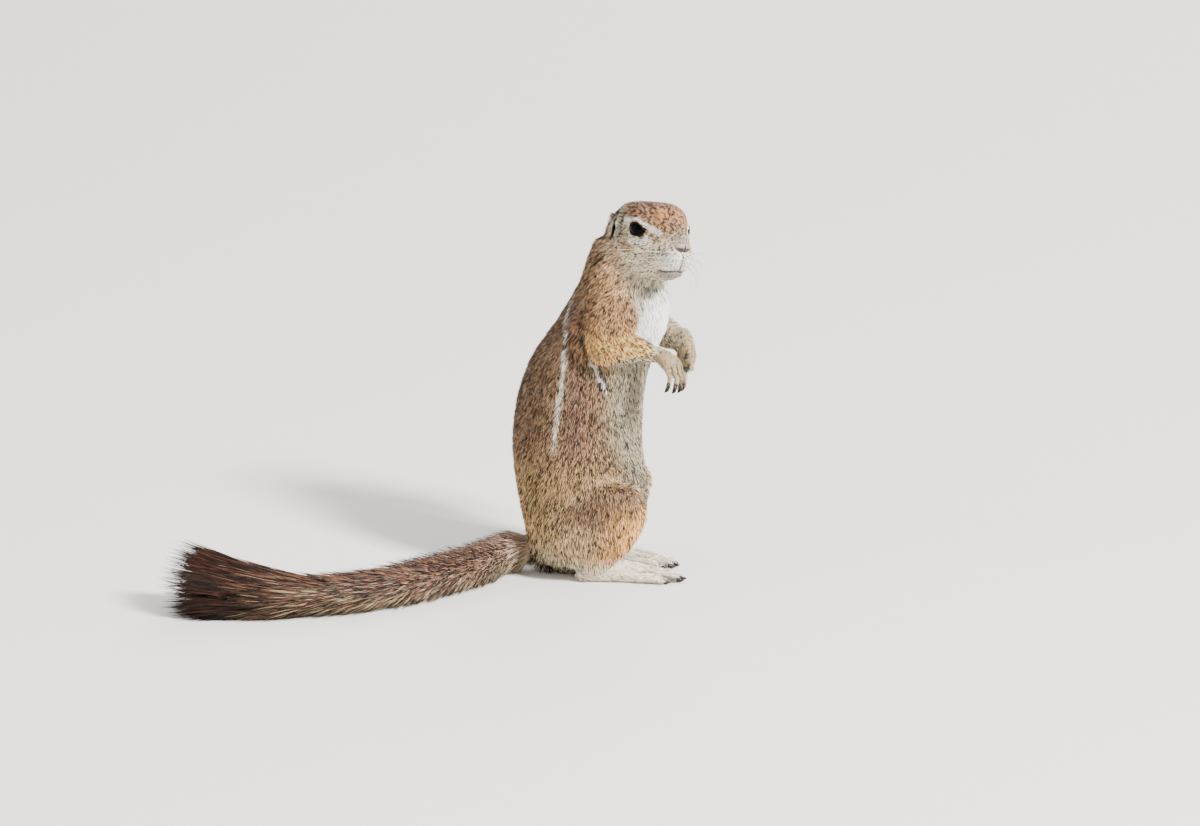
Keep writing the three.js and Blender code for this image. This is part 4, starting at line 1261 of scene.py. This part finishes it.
horn, tree, shader = new_material("claw horn", Roughness=0.45, Specular_IOR_Level=0.3)
where = add_node(tree, "ShaderNodeTexCoord").outputs["Object"]
growth = add_node(tree, "ShaderNodeTexNoise", {"Vector": where, "Scale": 500.0, "Detail": 3.0})
tone = add_node(tree, "ShaderNodeValToRGB", {"Fac": growth})
for element, stop, code in zip(tone.color_ramp.elements, (0, 1), ("#070505", "#1c1512")):
    element.position, element.color = stop, rgba(code)
tree.links.new(tone.outputs[0], shader.inputs["Base Color"])
bump = add_node(tree, "ShaderNodeBump", {"Height": growth, "Strength": 0.3, "Distance": 0.1 * MM})
tree.links.new(bump.outputs[0], shader.inputs["Normal"])
for name, (_, digits, place) in PAWS.items():
    droop = -1.9 if name.startswith("hand") else 0
    claws = joined([claw(bend, tip, (droop, 0, drop), 0.6 if radius < THUMB else 1.0)
                    for _, bend, tip, radius, drop in digits])
    piece = new_piece("claws_" + name, *in_metres(claws, place))
    faced_out(piece)
    piece.data.materials.append(horn)
    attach(piece, "root")

# ---- Whiskers ----------------------------------------------------------------------------
# Long stiff hairs in rows on the pads of the upper lip, dark at the root and pale beyond,
# that sweep back past the cheeks, with two over each eye.

skin_tree = BVHTree.FromObject(hide, bpy.context.evaluated_depsgraph_get())
rng = np.random.default_rng(5)
stems = []                # root, way, length and thickness
for side in (-1, 1):
    for row in range(4):
        for place in range(4):
            start = (20.5 - 2.6 * place - 0.3 * row, side * (5.5 + 1.3 * place), -14.2 - 2.0 * row)
            way = unit(np.array([-0.28 - 0.12 * place, side, 0.12 - 0.2 * row]) + rng.normal(0, 0.06, 3))
            stems.append((start, way, (25 + 3 * place - 2 * row) * rng.uniform(0.85, 1.1), 1))
    for start in ((4, side * 12.5, 7.5), (1, side * 14, 8)):
        stems.append((start, toward(-0.1, side * 0.4, 0.95), 12.5, 0.6))
lines = []
bend = head_turn @ np.array([-0.35, 0, -0.18])
for start, way, length, thickness in stems:
    start = np.array(HEAD_PLACE @ Vector(start)) * MM
    way = head_turn @ way
    root = np.array(skin_tree.find_nearest(start.tolist())[0]) / MM - way * 0.6
    line = [root + way * length * t + bend * length * t * t for t in np.linspace(0, 1, 5)]
    width = np.array((0.12, 0.11, 0.09, 0.06, 0.03)) * thickness
    lines.append(limb([(*p, w, w) for p, w in zip(line, width)], sides=5, rows=9))
points, faces = joined(lines)
whiskers = new_piece("whiskers", points * MM, faces)
run = np.tile(np.repeat(np.linspace(0, 1, 17), 5).tolist() + [0, 1], len(lines))
remember(whiskers.data, "run", run)
faced_out(whiskers)
stiff, tree, shader = new_material("whisker hair", Roughness=0.4)
tone = add_node(tree, "ShaderNodeAttribute", attribute_name="run").outputs["Fac"]
tone = add_node(tree, "ShaderNodeValToRGB", {"Fac": tone})
for element, stop, code in zip(tone.color_ramp.elements, (0, 0.5), ("#4b3d33", "#b9ae9e")):
    element.position, element.color = stop, rgba(code)
tree.links.new(tone.outputs[0], shader.inputs["Base Color"])
whiskers.data.materials.append(stiff)
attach(whiskers, "root")

# ---- Floor, light and camera -------------------------------------------------------------
# A plain pale floor, a large soft light high on the camera's right, weaker ones on the
# left and behind, and a long lens at the animal's own height, looking slightly down.

floor = new_piece("floor", [(-10, -10, 0), (10, -10, 0), (10, 10, 0), (-10, 10, 0)], [(0, 1, 2, 3)])
matt = new_material("matt floor", Base_Color=rgba("#e6e3dc"), Roughness=0.9, Specular_IOR_Level=0.2)[0]
floor.data.materials.append(matt)

for name, place, power, size in (
    ("key", (2.8, -2.0, 2.7), 610, 0.7), ("fill", (-3, -2, 1.5), 50, 2), ("back", (0.5, 3, 2), 90, 2),
):
    lamp = bpy.data.lights.new(name, "AREA")
    lamp.energy, lamp.size = power, size
    light = bpy.data.objects.new(name, lamp)
    light.location = place
    light.rotation_mode = "QUATERNION"
    light.rotation_quaternion = Vector(place).to_track_quat("Z", "Y")
    bpy.context.scene.collection.objects.link(light)
world = bpy.data.worlds.new("studio")
world.use_nodes = True
world.node_tree.nodes["Background"].inputs[0].default_value = (1, 1, 1, 1)
world.node_tree.nodes["Background"].inputs[1].default_value = 0.92
bpy.context.scene.world = world

azimuth, elevation = math.radians(8), math.radians(15)
right = Vector((math.cos(azimuth), math.sin(azimuth), 0))
level = math.cos(elevation)
back = Vector((math.sin(azimuth) * level, -math.cos(azimuth) * level, math.sin(elevation)))
lens = bpy.data.cameras.new("camera")
lens.lens, lens.sensor_width, lens.clip_end = 300, 36, 50
camera = bpy.data.objects.new("camera", lens)
camera.location = right * 0.021 + back.cross(right) * 0.0938 + back * 6
camera.rotation_mode = "QUATERNION"
camera.rotation_quaternion = back.to_track_quat("Z", "Y")
bpy.context.scene.collection.objects.link(camera)
bpy.context.scene.camera = camera
